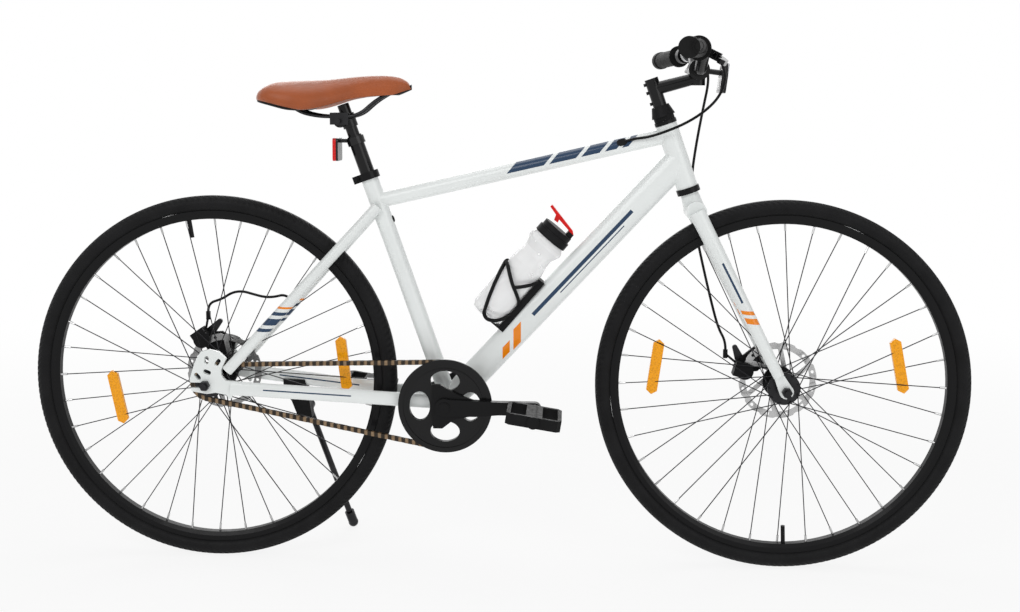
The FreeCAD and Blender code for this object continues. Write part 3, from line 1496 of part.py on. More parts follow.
def make_saddle_clamp():
    """Two jaws on one bolt, either side of the post's lug, each gripping a rail."""
    half = ACROSS * dim.clip_bolt_length / 2
    bolt = rod(SADDLE_PIVOT - half, SADDLE_PIVOT + half, dim.clip_bolt_radius)
    middle = SADDLE_PIVOT - ACROSS * (dim.clip_width / 2 + dim.clearance + dim.jaw_width / 2)
    jaw = block(middle + UP * dim.rail_drop / 2, AHEAD, UP, dim.jaw_length, dim.jaw_width, dim.jaw_height)
    jaw = jaw.cut(saddle_rail(-1)).cut(bolt)
    return piece("saddle_clamp", group(bolt, largest(jaw), mirrored(largest(jaw))))


RAIL_SHARES = [(-0.34, 1.45, 1.3), (-0.25, 1.3, 0.35), (-0.13, 1.0, 0.0), (0.12, 1.0, 0.0), (0.24, 0.8, 1.5),
               (0.36, 0.5, 2.45)]


def saddle_rail(side):
    """One bent wire: up at the back, level through the clamp, up and in to the nose."""
    spread = dim.clip_width / 2 + dim.clearance + dim.jaw_width / 2
    route = []
    for x, y, z in RAIL_SHARES:
        route.append(SADDLE_PIVOT + point(x * dim.saddle_length, side * y * spread,
                                          dim.rail_drop + z * dim.rail_rise))
    return bent_rod(route, dim.rail_radius)


def make_saddle_rails():
    return piece("saddle_rails", both_sides(saddle_rail(-1)))


SADDLE_SHARES = [(0.0, 0.50, 0.62, 0.40), (0.035, 0.76, 0.75, 0.27), (0.12, 0.95, 0.87, 0.14),
                 (0.25, 1.0, 0.92, 0.05), (0.40, 0.86, 0.94, 0.0), (0.55, 0.56, 0.965, 0.13),
                 (0.70, 0.36, 1.0, 0.31), (0.85, 0.28, 1.01, 0.50), (0.95, 0.23, 0.985, 0.62),
                 (1.0, 0.13, 0.90, 0.71)]


def saddle_station(share, wide, top, bottom):
    """One cross-section's place and sizes: x, half width, crest, edge height and how far its underside arches."""
    x = SADDLE_PIVOT.x - dim.saddle_setback + share * dim.saddle_length
    crest = SADDLE_LOW + top * dim.saddle_height
    edge = SADDLE_LOW + bottom * dim.saddle_height
    return x, wide * dim.saddle_width / 2, crest, edge, (crest - edge) * SADDLE_ARCH_SHARE


def saddle_section(share, wide, top, bottom):
    """A closed section across the saddle: crowned top, drawn-in sides and an arched underside."""
    x, half, crest, edge, arch = saddle_station(share, wide, top, bottom)
    tall = crest - edge
    left = [point(x, half * SADDLE_EDGE_SHARE, edge), point(x, half, edge + tall * SADDLE_BULGE_SHARE),
            point(x, half * SADDLE_SHOULDER_SHARE, crest - tall * SADDLE_CROWN_SHARE)]
    right = [point(corner.x, -corner.y, corner.z) for corner in left]
    return Part.Wire([Part.Arc(right[0], point(x, 0, edge + arch), left[0]).toShape(), Part.Arc(*left).toShape(),
                      Part.Arc(left[2], point(x, 0, crest), right[2]).toShape(),
                      Part.Arc(*reversed(right)).toShape()])


SADDLE_EDGE_SHARE = 0.93
SADDLE_ARCH_SHARE = 0.42
SADDLE_SHOULDER_SHARE = 0.82
SADDLE_CROWN_SHARE = 0.28
SADDLE_BULGE_SHARE = 0.42


def saddle_cover_solid():
    return Part.makeLoft([saddle_section(*row) for row in SADDLE_SHARES], True)


def make_saddle_cover():
    return piece("saddle_cover", saddle_cover_solid())


def make_saddle_base():
    """The moulded shell under the padding: the cover's arch, set in and thin, with sockets for the rails."""
    sections = []
    for row in SADDLE_SHARES:
        x, half, crest, edge, arch = saddle_station(*row)
        wide = half * SADDLE_EDGE_SHARE * SADDLE_BASE_SHARE
        high = edge - dim.clearance
        upper = [point(x, y * wide, high + z * arch) for y, z in BASE_ARCH_SHARES]
        lower = [point(x, corner.y, corner.z - dim.saddle_base_thick) for corner in upper[::-1]]
        sections.append(Part.makePolygon(upper + lower + upper[:1]))
    shell = Part.makeLoft(sections, True, True)
    return piece("saddle_base", largest(shell.cut(saddle_rail(-1)).cut(saddle_rail(1)).cut(saddle_cover_solid())))


SADDLE_BASE_SHARE = 0.95
BASE_ARCH_SHARES = [(-1, 0), (-0.6, 0.55), (0, 0.85), (0.6, 0.55), (1, 0)]


def make_rear_reflector():
    """A strap round the post, a short arm and the reflector hanging from it, facing backward."""
    place = SEAT_TOP + SEAT_AXIS * dim.rear_reflector_height
    half = SEAT_AXIS * dim.strap_height / 2
    bore = dim.post_radius + dim.running_fit
    strap = rod(place - half, place + half, bore + dim.strap_wall)
    back = turned_in_plane(180)
    face = place + back * dim.strap_reach
    arm = block(place + back * dim.strap_reach / 2, back, UP, dim.strap_reach, dim.strap_height, dim.strap_height / 2)
    strap = strap.fuse(arm).cut(rod(place - half * 2, place + half * 2, bore))
    lens_middle = face + back * dim.rear_reflector_thick / 2 - UP * dim.rear_reflector_hang
    lens = block(lens_middle, back, UP, dim.rear_reflector_thick, dim.rear_reflector_wide, dim.rear_reflector_tall)
    corners = [edge for edge in lens.Edges if abs(edge.Length - dim.rear_reflector_thick) < dim.running_fit]
    lens = lens.makeFillet(dim.rear_reflector_thick / 2, corners)
    return piece("rear_reflector", group(largest(strap), lens))


# Brakes

def caliper_shapes(wheel, rotor_place, outer_face, pivot, arm_angle, barrel_angle):
    """A round housing that straddles the rotor, its cable barrel, and the arm that the cable pulls."""
    inner = pivot + ACROSS * (rotor_place - dim.caliper_inner_depth)
    outer = pivot + ACROSS * outer_face
    out = unit(pivot - wheel)
    housing = rod(inner, outer, dim.caliper_radius)
    bridge = block((inner + outer) / 2 + out * dim.caliper_radius / 2, out, ACROSS, dim.caliper_bridge_long,
                   dim.caliper_bridge, (outer - inner).Length - 2 * dim.clearance)
    slot_start = wheel + ACROSS * (rotor_place - (dim.caliper_slot - dim.rotor_thick) / 2)
    slot = rod(slot_start, slot_start + ACROSS * dim.caliper_slot, dim.rotor_radius + dim.caliper_slot / 2)
    start = outer + ACROSS * dim.clearance
    end = start + ACROSS * dim.caliper_arm_thick
    pin = rod(outer, end + ACROSS * dim.clearance, dim.caliper_pin_radius)
    head = rod(end + ACROSS * dim.clearance, end + ACROSS * (dim.clearance + dim.caliper_cap), dim.caliper_head_radius)
    toward = turned_in_plane(barrel_angle)
    reach = pivot + ACROSS * (outer_face - dim.caliper_stay_radius * 2)
    stay = rod(reach, reach + toward * dim.caliper_barrel_reach, dim.caliper_stay_radius)
    tip = reach + toward * dim.caliper_barrel_reach
    barrel = rod(tip - UP * dim.barrel_length / 2, tip + UP * dim.barrel_length / 2, dim.caliper_stay_radius * 2)
    body = housing.fuse(bridge).cut(slot).multiFuse([pin, head, stay, barrel])
    along = turned_in_plane(arm_angle)
    side = turned_in_plane(arm_angle + 90)
    thickness = ACROSS * dim.caliper_arm_thick
    far = start + along * dim.caliper_arm_long
    root = side * dim.caliper_arm_root
    point_side = side * dim.caliper_arm_tip
    arm = slab([start + root, far + point_side, far - point_side, start - root], thickness)
    arm = arm.fuse(rod(start, start + thickness, dim.caliper_arm_root))
    arm = arm.fuse(rod(far, far + thickness, dim.caliper_arm_tip))
    arm = arm.cut(rod(start, start + thickness, dim.caliper_pin_radius + dim.running_fit))
    return body, arm.removeSplitter()


REAR_CALIPER_SHARES = (-0.58, 0.83)
FRONT_CALIPER_SHARES = (-0.85, 0.24)


def caliper_pivot(wheel, shares):
    return wheel + point(shares[0] * dim.rotor_radius, 0, shares[1] * dim.rotor_radius)


REAR_PIVOT = caliper_pivot(REAR, REAR_CALIPER_SHARES)
FRONT_PIVOT = caliper_pivot(FRONT, FRONT_CALIPER_SHARES)
REAR_OUTER = REAR_FACE + dim.clearance
FRONT_OUTER = FRONT_FACE + dim.fork_end_thick + dim.clearance
REAR_ARM_ANGLE = 48
REAR_BARREL_ANGLE = 79
FRONT_ARM_ANGLE = 112
FRONT_BARREL_ANGLE = 140


def rear_caliper_shapes():
    return caliper_shapes(REAR, dim.rear_rotor_place, REAR_OUTER, REAR_PIVOT, REAR_ARM_ANGLE, REAR_BARREL_ANGLE)


def front_caliper_shapes():
    return caliper_shapes(FRONT, dim.front_rotor_place, FRONT_OUTER, FRONT_PIVOT, FRONT_ARM_ANGLE,
                          FRONT_BARREL_ANGLE)


def adapter(corners, face, thickness):
    return slab([point(corner.x, face, corner.z) for corner in corners], ACROSS * thickness)


def make_rear_caliper():
    """Caliper on an adapter plate that lies on the inner face of the left dropout."""
    body, arm = rear_caliper_shapes()
    low = [REAR + point(x * dim.dropout_reach, 0, z * dim.dropout_rise) for x, z in REAR_ADAPTER_SHARES]
    plate = adapter(low, REAR_FACE - dim.adapter_thick, dim.adapter_thick).cut(body)
    return piece("rear_caliper", group(body, largest(plate)))


REAR_ADAPTER_SHARES = [(-0.36, 0.28), (-0.66, 0.72), (-0.60, 1.08), (-0.10, 1.12), (0.30, 0.86), (0.20, 0.40)]


def make_rear_caliper_arm():
    return piece("rear_caliper_arm", rear_caliper_shapes()[1])


def make_front_caliper():
    """Caliper on an adapter plate that reaches back from the left fork leg."""
    body, arm = front_caliper_shapes()
    low = [FRONT + point(x * dim.rotor_radius, 0, z * dim.rotor_radius) for x, z in FRONT_ADAPTER_SHARES]
    leg = fork_leg(1)
    plate = adapter(low, FRONT_FACE, dim.fork_end_thick).cut(body).cut(leg)
    return piece("front_caliper", group(body, largest(plate)))


FRONT_ADAPTER_SHARES = [(-0.95, 0.15), (-0.95, 0.55), (-0.50, 0.92), (-0.10, 0.95), (-0.10, 0.55), (-0.50, 0.20)]


def make_front_caliper_arm():
    return piece("front_caliper_arm", front_caliper_shapes()[1])


# Kickstand

def stand_frame():
    """Pivot, hinge axis, leg direction and leg length."""
    chainstay_y = chainstay_side(dim.stand_place)
    pivot = REAR + point(dim.stand_place + dim.stand_pivot_ahead, 0, 0)
    pivot.y = chainstay_y + dim.stand_bracket_wide / 2 + dim.clearance + dim.stand_barrel_long / 2
    pivot.z = REAR.z - dim.stand_pivot_drop
    foot = point(pivot.x + dim.stand_foot_ahead, pivot.y + dim.stand_foot_out, dim.stand_foot_radius)
    down = foot - pivot
    folded = unit(point(-down.Length, dim.stand_fold_out, dim.stand_fold_rise))
    axis = unit(down.cross(folded))
    return pivot, axis, foot


def chainstay_side(reach):
    """How far out the left chainstay's middle lies at a distance ahead of the rear axle."""
    front, rear = chainstay_line()
    share = (REAR.x + reach - rear.x) / (front.x - rear.x)
    return -rear.y + (rear.y - front.y) * share


def make_kickstand_bracket():
    """A tapered moulding clamped under the left chainstay, with the pin that the leg turns on."""
    pivot, axis, foot = stand_frame()
    y = chainstay_side(dim.stand_place) - dim.stand_bracket_wide / 2
    top = point(REAR.x + dim.stand_place, y, REAR.z - dim.chainstay_rear_drop)
    corners = [top + point(x * dim.stand_bracket_long, 0, z * dim.stand_bracket_tall) for x, z in STAND_SHARES]
    body = slab(corners, ACROSS * dim.stand_bracket_wide)
    stay = mirrored(chainstay_shapes()[0])
    half = axis * dim.stand_barrel_long / 2
    pin = rod(pivot - half * 2, pivot + half + axis * dim.clearance, dim.stand_pin_radius)
    head = rod(pivot + half + axis * dim.clearance, pivot + half + axis * (dim.clearance + dim.caliper_cap),
               dim.stand_head_radius)
    barrel_room = rod(pivot - half - axis * dim.clearance, pivot + half + axis * dim.overrun,
                      dim.stand_barrel_radius + dim.clearance)
    body = largest(body.cut(stay).cut(barrel_room))
    return piece("kickstand_bracket", body.multiFuse([pin, head]))


STAND_SHARES = [(-0.58, -0.12), (0.42, -0.12), (0.62, -0.60), (0.75, -1.0), (0.10, -1.0), (-0.2, -0.62),
                (-0.55, -0.4)]


def make_kickstand_leg():
    """A barrel on the pin, a straight leg and a rubber-shod foot."""
    pivot, axis, foot = stand_frame()
    half = axis * dim.stand_barrel_long / 2
    barrel = rod(pivot - half, pivot + half, dim.stand_barrel_radius)
    along = unit(foot - pivot)
    leg = rod(pivot, foot, dim.stand_leg_radius)
    shoe = rod(foot - along * dim.stand_foot_long, foot, dim.stand_foot_radius * SHOE_SHARE)
    sole = Part.makeSphere(dim.stand_foot_radius, foot)
    shape = barrel.fuse(leg).fuse(shoe).fuse(sole)
    return piece("kickstand_leg", shape.cut(rod(pivot - half * 2, pivot + half * 2,
                                                dim.stand_pin_radius + dim.running_fit)))


SHOE_SHARE = 0.95


# Bottle and cage

def tilted(vector, degrees):
    """A vector of the bike's plane, turned upward."""
    return FreeCAD.Rotation(ACROSS, -degrees).multVec(vector)


BOTTLE_AXIS = tilted(DOWN_AXIS, dim.bottle_tilt)
BOTTLE_UP = tilted(DOWN_UP, dim.bottle_tilt)
BOTTLE_BASE = DOWN_FOOT + DOWN_AXIS * dim.bottle_start + DOWN_UP * dim.bottle_offset
BOTTLE_SHARES = [("bottle_base_radius", 0.0), ("bottle_radius", 0.05), ("bottle_radius", 0.66),
                 ("bottle_waist_radius", 0.77), ("bottle_waist_radius", 0.83), ("bottle_shoulder_radius", 0.92),
                 ("bottle_shoulder_radius", 0.95), ("bottle_neck_radius", 1.0)]


def make_bottle():
    """A thin-walled bottle with a waist below its shoulder, open at the neck."""
    zero = "0 * Sizes.bottle_length"
    wall = "Sizes.bottle_wall"
    outer = [(f"Sizes.{alias}", f"{share} * Sizes.bottle_length") for alias, share in BOTTLE_SHARES]
    inner = [(f"Sizes.{alias} - {wall}", f"{share} * Sizes.bottle_length") for alias, share in BOTTLE_SHARES[1:]]
    corners = [(zero, zero)] + outer + inner[::-1] + [(zero, f"{BOTTLE_SHARES[1][1]} * Sizes.bottle_length / 2")]
    return turned_body("bottle", corners, BOTTLE_BASE, BOTTLE_AXIS)


def cap_point(height, lift=0.0):
    """A point above the bottle's mouth, and off its axis toward the top."""
    return BOTTLE_BASE + BOTTLE_AXIS * (dim.bottle_length + height) + BOTTLE_UP * lift


SPOUT_PIVOT = cap_point(dim.bottle_cap_height + dim.spout_hub_radius, -dim.spout_setback)


def make_bottle_cap():
    """A stepped screw cap with two ears and the pin that the spout turns on."""
    low = cap_point(dim.clearance)
    step = cap_point(dim.bottle_cap_height * CAP_STEP_SHARE)
    high = cap_point(dim.bottle_cap_height)
    cap = rod(low, step, dim.bottle_cap_radius).fuse(rod(step, high, dim.bottle_cap_top_radius))
    ear_gap = dim.spout_wide / 2 + dim.clearance
    for side in (-1, 1):
        middle = SPOUT_PIVOT + ACROSS * side * (ear_gap + dim.spout_ear / 2) - BOTTLE_AXIS * dim.spout_hub_radius / 2
        cap = cap.fuse(block(middle, BOTTLE_AXIS, BOTTLE_UP, dim.spout_hub_radius * 2, dim.spout_ear,
                             dim.spout_hub_radius * 2))
    half = ACROSS * (ear_gap + dim.spout_ear / 2)
    return piece("bottle_cap", cap.fuse(rod(SPOUT_PIVOT - half, SPOUT_PIVOT + half, dim.spout_pin_radius)))


CAP_STEP_SHARE = 0.55
SPOUT_SHARES = [(-0.09, -0.02), (0.0, 0.05), (0.55, 0.13), (0.52, 0.03), (0.66, 0.02), (0.72, 0.18),
                (1.02, 0.26), (1.0, 0.34), (0.0, 0.13), (-0.09, 0.06)]


def make_bottle_spout():
    """A flip lever on a cross pin between the cap's ears, with a short prong that closes the mouth."""
    half = ACROSS * dim.spout_wide / 2
    hub = rod(SPOUT_PIVOT - half, SPOUT_PIVOT + half, dim.spout_hub_radius - dim.clearance)
    base = SPOUT_PIVOT - half
    blade = slab([base + BOTTLE_UP * x * dim.spout_length + BOTTLE_AXIS * z * dim.spout_length
                  for x, z in SPOUT_SHARES], half * 2)
    pin_room = rod(SPOUT_PIVOT - half, SPOUT_PIVOT + half, dim.spout_pin_radius + dim.running_fit)
    return piece("bottle_spout", hub.fuse(blade).cut(pin_room))


CAGE_LOOP_SHARES = [[(0.179, 158), (0.092, 138), (0.027, 118), (0.0, 98), (0.022, 82), (0.147, 66), (0.288, 50),
                     (0.429, 34), (0.560, 17), (0.538, 42), (0.484, 68), (0.429, 92), (0.386, 116), (0.342, 138),
                     (0.299, 158)],
                    [(0.418, 98), (0.484, 118), (0.549, 138), (0.603, 158)]]


def make_bottle_cage():
    """A spine bolted to the down tube, bent side loops that hug the bottle, and the foot under it."""
    wire = dim.cage_wire
    hug = (dim.bottle_radius + wire + dim.clearance) * CAGE_SLACK_SHARE
    low = BOTTLE_BASE - BOTTLE_UP * (dim.bottle_radius + dim.clearance)
    half = ACROSS * dim.cage_plate_wide / 2
    far = BOTTLE_AXIS * dim.cage_plate_long
    spine = slab([low - half, low + half, low + half + far, low - half + far], BOTTLE_UP * -dim.cage_plate_deep)
    lift = BOTTLE_UP * dim.bottle_radius
    foot_low = low - BOTTLE_AXIS * wire
    foot = slab([foot_low - half, foot_low + half, foot_low + half + lift, foot_low - half + lift],
                BOTTLE_AXIS * (wire - dim.clearance))
    loops = []
    for side in (-1, 1):
        for loop in CAGE_LOOP_SHARES:
            places = []
            for along, angle in loop:
                turn = math.radians(angle)
                centre = BOTTLE_BASE + BOTTLE_AXIS * along * dim.bottle_length
                places.append(centre + (BOTTLE_UP * math.cos(turn) + ACROSS * side * math.sin(turn)) * hug)
            loops.append(bent_rod(places, wire))
    heel = slab([foot_low - half, foot_low + half, low + half, low - half], BOTTLE_UP * -dim.cage_plate_deep)
    tube = down_tube_shapes()[0]
    return piece("bottle_cage", largest(spine.multiFuse(loops + [foot, heel]).cut(tube)))


CAGE_SLACK_SHARE = 1.035


# Cables

def on_span(start, end, shares):
    """Points set out from the span between two ends: along it, across it and square to both."""
    span = end - start
    along = unit(span)
    across = unit(ACROSS - along * ACROSS.dot(along))
    square = along.cross(across)
    return [start + (along * a + across * b + square * c) * span.Length for a, b, c in shares]


def lever_barrel_end(side):
    """Where a cable leaves its brake lever, and the direction it leaves in."""
    place, outward, reach, hinge = lever_frame(side)
    start = place - outward * (dim.lever_clamp_width / 2 + dim.barrel_length)
    return start + reach * dim.lever_barrel_reach, outward * -1


FRONT_CABLE_SHARES = [(0.0238, -0.0322, 0.0173), (0.0874, -0.062, 0.0189), (0.1853, -0.0766, -0.0128),
                      (0.3037, -0.0758, -0.0466), (0.4126, -0.0668, -0.0721), (0.5228, -0.0539, -0.0792),
                      (0.6344, -0.0389, -0.0697), (0.7463, -0.0221, -0.0547), (0.8586, -0.0071, -0.0378),
                      (0.9527, 0.004, -0.021)]
REAR_CABLE_FRONT_SHARES = [(0.0229, 0.0429, 0.0996), (0.1171, 0.0572, 0.2163), (0.2636, 0.0559, 0.2717),
                           (0.4335, 0.0533, 0.268), (0.6126, 0.0461, 0.225), (0.7878, 0.0357, 0.1501),
                           (0.9186, 0.022, 0.0777)]
REAR_CABLE_REAR_SHARES = [(0.1534, 0.0511, 0.0249), (0.2819, 0.0529, 0.0137), (0.4178, 0.054, -0.0373),
                          (0.5523, 0.0489, -0.0947), (0.6877, 0.0372, -0.0941), (0.8187, 0.0195, -0.0282)]


def barrel_tip(pivot, outer_face, angle):
    """The top of a caliper's cable barrel."""
    middle = pivot + ACROSS * (outer_face - dim.caliper_stay_radius * 2)
    return middle + turned_in_plane(angle) * dim.caliper_barrel_reach + UP * dim.barrel_length / 2


def front_cable_points():
    start, leaving = lever_barrel_end(1)
    end = barrel_tip(FRONT_PIVOT, FRONT_OUTER, FRONT_BARREL_ANGLE)
    first = start + leaving * dim.barrel_length
    last = end + UP * dim.barrel_length
    return [start, first] + on_span(first, last, FRONT_CABLE_SHARES) + [last, end]


def make_front_cable():
    return piece("front_cable", bent_rod(front_cable_points(), dim.cable_radius))


def top_tube_port():
    """Where the rear cable goes into the right side of the top tube: a point on its skin and the way out."""
    start, end = top_tube_line()
    along = unit(end - start)
    out = unit(along.cross(ACROSS) * PORT_RISE_SHARE - ACROSS * PORT_SIDE_SHARE)
    return start + (end - start) * PORT_SHARE + out * dim.top_tube_radius, out, along


PORT_SHARE = 0.84
PORT_SIDE_SHARE = 0.9
PORT_RISE_SHARE = 0.45


def grommet(skin, out, along, tube):
    """A long rubber plug that lies on a tube, where a cable goes in."""
    low = skin - out * dim.grommet_radius / 2
    high = skin + out * dim.grommet_thick
    side = unit(out.cross(along)) * dim.grommet_radius
    ends = along * dim.grommet_radius * GROMMET_LONG_SHARE
    plug = slab([low + ends + side / 2, low + ends / 2 + side, low - ends / 2 + side, low - ends + side / 2,
                 low - ends - side / 2, low - ends / 2 - side, low + ends / 2 - side, low + ends - side / 2],
                high - low)
    return plug.cut(tube)


GROMMET_LONG_SHARE = 1.5
CABLE_LIFT_SHARE = 0.25


def rear_cable_front_points():
    start, leaving = lever_barrel_end(-1)
    skin, out, along = top_tube_port()
    end = skin + out * (dim.grommet_thick / 2) + along * dim.grommet_radius
    first = start + leaving * dim.barrel_length
    last = end + (along + out * CABLE_LIFT_SHARE) * dim.barrel_length
    return [start, first] + on_span(first, last, REAR_CABLE_FRONT_SHARES) + [last, end]


def make_rear_cable_front():
    tube = top_tube_shapes()[0]
    plug = grommet(*top_tube_port(), tube)
    cable = bent_rod(rear_cable_front_points(), dim.cable_radius)
    return piece("rear_cable_front", group(largest(cable.cut(plug).cut(tube)), largest(plug)))


def seatstay_port():
    """Where the rear cable comes out of the back of the left seatstay."""
    top, foot = [point(corner.x, -corner.y, corner.z) for corner in seatstay_line()]
    along = unit(top - foot)
    middle = foot + (top - foot) * STAY_PORT_SHARE
    out = unit(AHEAD * -1 + along * along.x)
    return middle + out * dim.seatstay_radius, out, along


STAY_PORT_SHARE = 0.36


def rear_cable_rear_points():
    skin, out, along = seatstay_port()
    start = skin + out * dim.grommet_thick / 2
    end = barrel_tip(REAR_PIVOT, REAR_OUTER, REAR_BARREL_ANGLE)
    first = start + out * dim.grommet_radius * 2
    last = end + UP * dim.barrel_length
    return [start, first] + on_span(first, last, REAR_CABLE_REAR_SHARES) + [last, end]


def make_rear_cable_rear():
    plug = grommet(*seatstay_port(), mirrored(seatstay_shapes()[0]))
    cable = bent_rod(rear_cable_rear_points(), dim.cable_radius)
    return piece("rear_cable_rear", group(largest(cable.cut(plug)), largest(plug)))


def make_wheels():
    wheels = {
        "front": (FRONT, dim.front_hub_radius, dim.front_axle_radius, dim.front_flange_place,
                  dim.front_flange_place, dim.front_rotor_place, dim.front_flange_place + dim.flange_thick * 2, None),
        "rear": (REAR, dim.rear_hub_radius, dim.rear_axle_radius, dim.rear_left_flange, dim.rear_right_flange,
                 dim.rear_rotor_place, dim.freewheel_outer + dim.clearance * 2, dim.freewheel_thread),
    }
    made = []
    for end, (centre, radius, axle, left, right, rotor, right_end, thread) in wheels.items():
        lines = spoke_lines(centre, left, right)
        made.append(make_tyre(end + "_tyre", centre))
        made.append(make_rim(end + "_rim", centre, VALVE_SHARES[end]))
        made.append(make_spokes(end + "_spokes", lines))
        made.append(make_wheel_reflectors(end + "_wheel_reflectors", centre, WHEEL_REFLECTOR_SHARES[end], lines))
        made.append(make_hub(end + "_hub", centre, radius, axle, left, right, rotor, right_end, thread))
        made.append(make_rotor(end + "_rotor", centre, rotor))
        face, plate = ((FRONT_FACE, dim.fork_end_thick) if end == "front" else (REAR_FACE, dim.dropout_thick))
        made.append(make_axle(end + "_axle", centre, axle, face, plate, rotor + dim.rotor_thick, right_end))
    return made


def make_all():
    makers = [make_head_tube, make_top_tube, make_down_tube, make_seat_tube, make_bottom_bracket_shell,
              make_chainstays, make_seatstays, make_dropouts, make_bearing_cups, make_seat_collar,
              make_chain, make_chainring, make_cranks, make_freewheel, make_fork, make_headset_cover, make_stem,
              make_handlebar, make_grips, make_lever_brackets, make_front_reflector, make_bell_body,
              make_bell_lever, make_seatpost, make_saddle_clamp, make_saddle_rails, make_saddle_cover,
              make_saddle_base, make_rear_reflector, make_rear_caliper, make_rear_caliper_arm,
              make_front_caliper, make_front_caliper_arm, make_kickstand_bracket, make_kickstand_leg,
              make_bottle, make_bottle_cap, make_bottle_spout, make_bottle_cage, make_front_cable,
              make_rear_cable_front, make_rear_cable_rear]
    made = [maker() for maker in makers]
    made.append(make_lever("lever_right", -1))
    made.append(make_lever("lever_left", 1))
    made.append(make_pedal("pedal_right", dim.crank_length, -1))
    made.append(make_pedal("pedal_left", -dim.crank_length, 1))
    return made + make_wheels()


def write(pieces):
    """Checks every object, then writes one file per sub-part."""
    doc.recompute()
    for made in doc.Objects:
        if "Invalid" in made.State or "Error" in made.State:
            raise RuntimeError(f"{made.Label} failed: {made.State}")
    for made in pieces:
        if made.Shape.isNull() or not made.Shape.isValid():
            raise RuntimeError(f"{made.Label} has no valid shape")
    os.makedirs("parts", exist_ok=True)
    for made in pieces:
        made.Shape.exportStep(f"parts/{made.Label}.step")


write(make_all())
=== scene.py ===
"""Looks of a hybrid bike: finishes, saddle cover, tyres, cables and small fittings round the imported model."""
import math

import bpy
from mathutils import Matrix, Vector


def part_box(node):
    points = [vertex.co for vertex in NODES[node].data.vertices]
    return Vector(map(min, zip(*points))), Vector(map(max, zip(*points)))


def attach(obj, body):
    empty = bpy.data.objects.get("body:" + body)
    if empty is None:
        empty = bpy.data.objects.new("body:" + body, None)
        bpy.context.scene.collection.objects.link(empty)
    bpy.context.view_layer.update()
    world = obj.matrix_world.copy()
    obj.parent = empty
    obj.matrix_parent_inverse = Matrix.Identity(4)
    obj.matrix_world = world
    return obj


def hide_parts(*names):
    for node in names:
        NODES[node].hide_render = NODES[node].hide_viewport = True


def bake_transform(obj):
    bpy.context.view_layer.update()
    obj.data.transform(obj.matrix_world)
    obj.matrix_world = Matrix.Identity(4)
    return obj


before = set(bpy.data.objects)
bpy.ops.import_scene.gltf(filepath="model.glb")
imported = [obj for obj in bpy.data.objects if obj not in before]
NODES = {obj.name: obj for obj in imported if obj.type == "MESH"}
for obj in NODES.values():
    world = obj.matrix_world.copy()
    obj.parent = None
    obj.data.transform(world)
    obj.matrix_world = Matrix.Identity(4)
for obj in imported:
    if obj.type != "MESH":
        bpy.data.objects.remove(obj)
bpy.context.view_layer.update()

# Layout of the bike, in metres, as its solids have it
TYRE_RADIUS = 0.345
TYRE_HALF_WIDTH = 0.0175
RIM_RADIUS = 0.3173
REAR = Vector((-0.5305, 0, 0.345))
FRONT = Vector((0.5305, 0, 0.345))
BRACKET = Vector((-0.0902, 0, 0.308))
DOWN_FOOT = Vector((-0.0902, 0, 0.3021))
DOWN_AXIS = Vector((0.6794, 0, 0.7337))
DOWN_UP = Vector((-0.7337, 0, 0.6794))
TOP_FOOT = Vector((-0.2210, 0, 0.6818))
TOP_AXIS = Vector((0.97394, 0, 0.22685))
TOP_UP = Vector((-0.22685, 0, 0.97394))
STAY_FOOT = Vector((-0.4905, 0, 0.372))
STAY_AXIS = Vector((0.67077, 0, 0.74166))
STAY_UP = Vector((-0.74166, 0, 0.67077))
LEG_AXIS = Vector((0.4549, 0, -0.8905))
LEG_SIDE = Vector((0.8905, 0, 0.4549))
CHAIN_AXIS = Vector((-0.9967, 0, 0.0809))
CHAIN_UP = Vector((0.0809, 0, 0.9967))
CHAIN_PITCH = 0.0127
SEAT_UP = Vector((-0.337, 0, 0.941))
SEAT_AHEAD = Vector((0.941, 0, 0.337))
SEAT_TUBE_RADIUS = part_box("seat_tube")[1][1]
ORIGIN = Vector((0, 0, 0))
AHEAD = Vector((1, 0, 0))
ASTERN = Vector((-1, 0, 0))
ACROSS = Vector((0, 1, 0))
UPWARD = Vector((0, 0, 1))

# Colours that several looks share
WHITE = (0.87, 0.90, 0.89)
NAVY = (0.008, 0.038, 0.095)
ORANGE = (0.90, 0.25, 0.002)
BLACK = (0.006, 0.006, 0.0065)


class Nodes:
    """A tree of shader nodes, with short ways to add to it."""

    def __init__(self, tree):
        self.nodes = tree.nodes
        self.links = tree.links

    def add(self, kind, *inputs, **settings):
        """A new node; each input is a socket to link or a value to set, in the node's order."""
        node = self.nodes.new(kind)
        for setting, value in settings.items():
            setattr(node, setting, value)
        for socket, value in zip(node.inputs, inputs):
            self.feed(socket, value)
        return node

    def feed(self, socket, value):
        if isinstance(value, bpy.types.NodeSocket):
            self.links.new(value, socket)
        else:
            socket.default_value = value

    def math(self, operation, *values):
        return self.add("ShaderNodeMath", *values, operation=operation).outputs[0]

    def spread(self, factor, low, high, start=0.3, end=0.7):
        """Maps a factor's range from start to end onto low to high."""
        return self.add("ShaderNodeMapRange", factor, start, end, low, high).outputs[0]


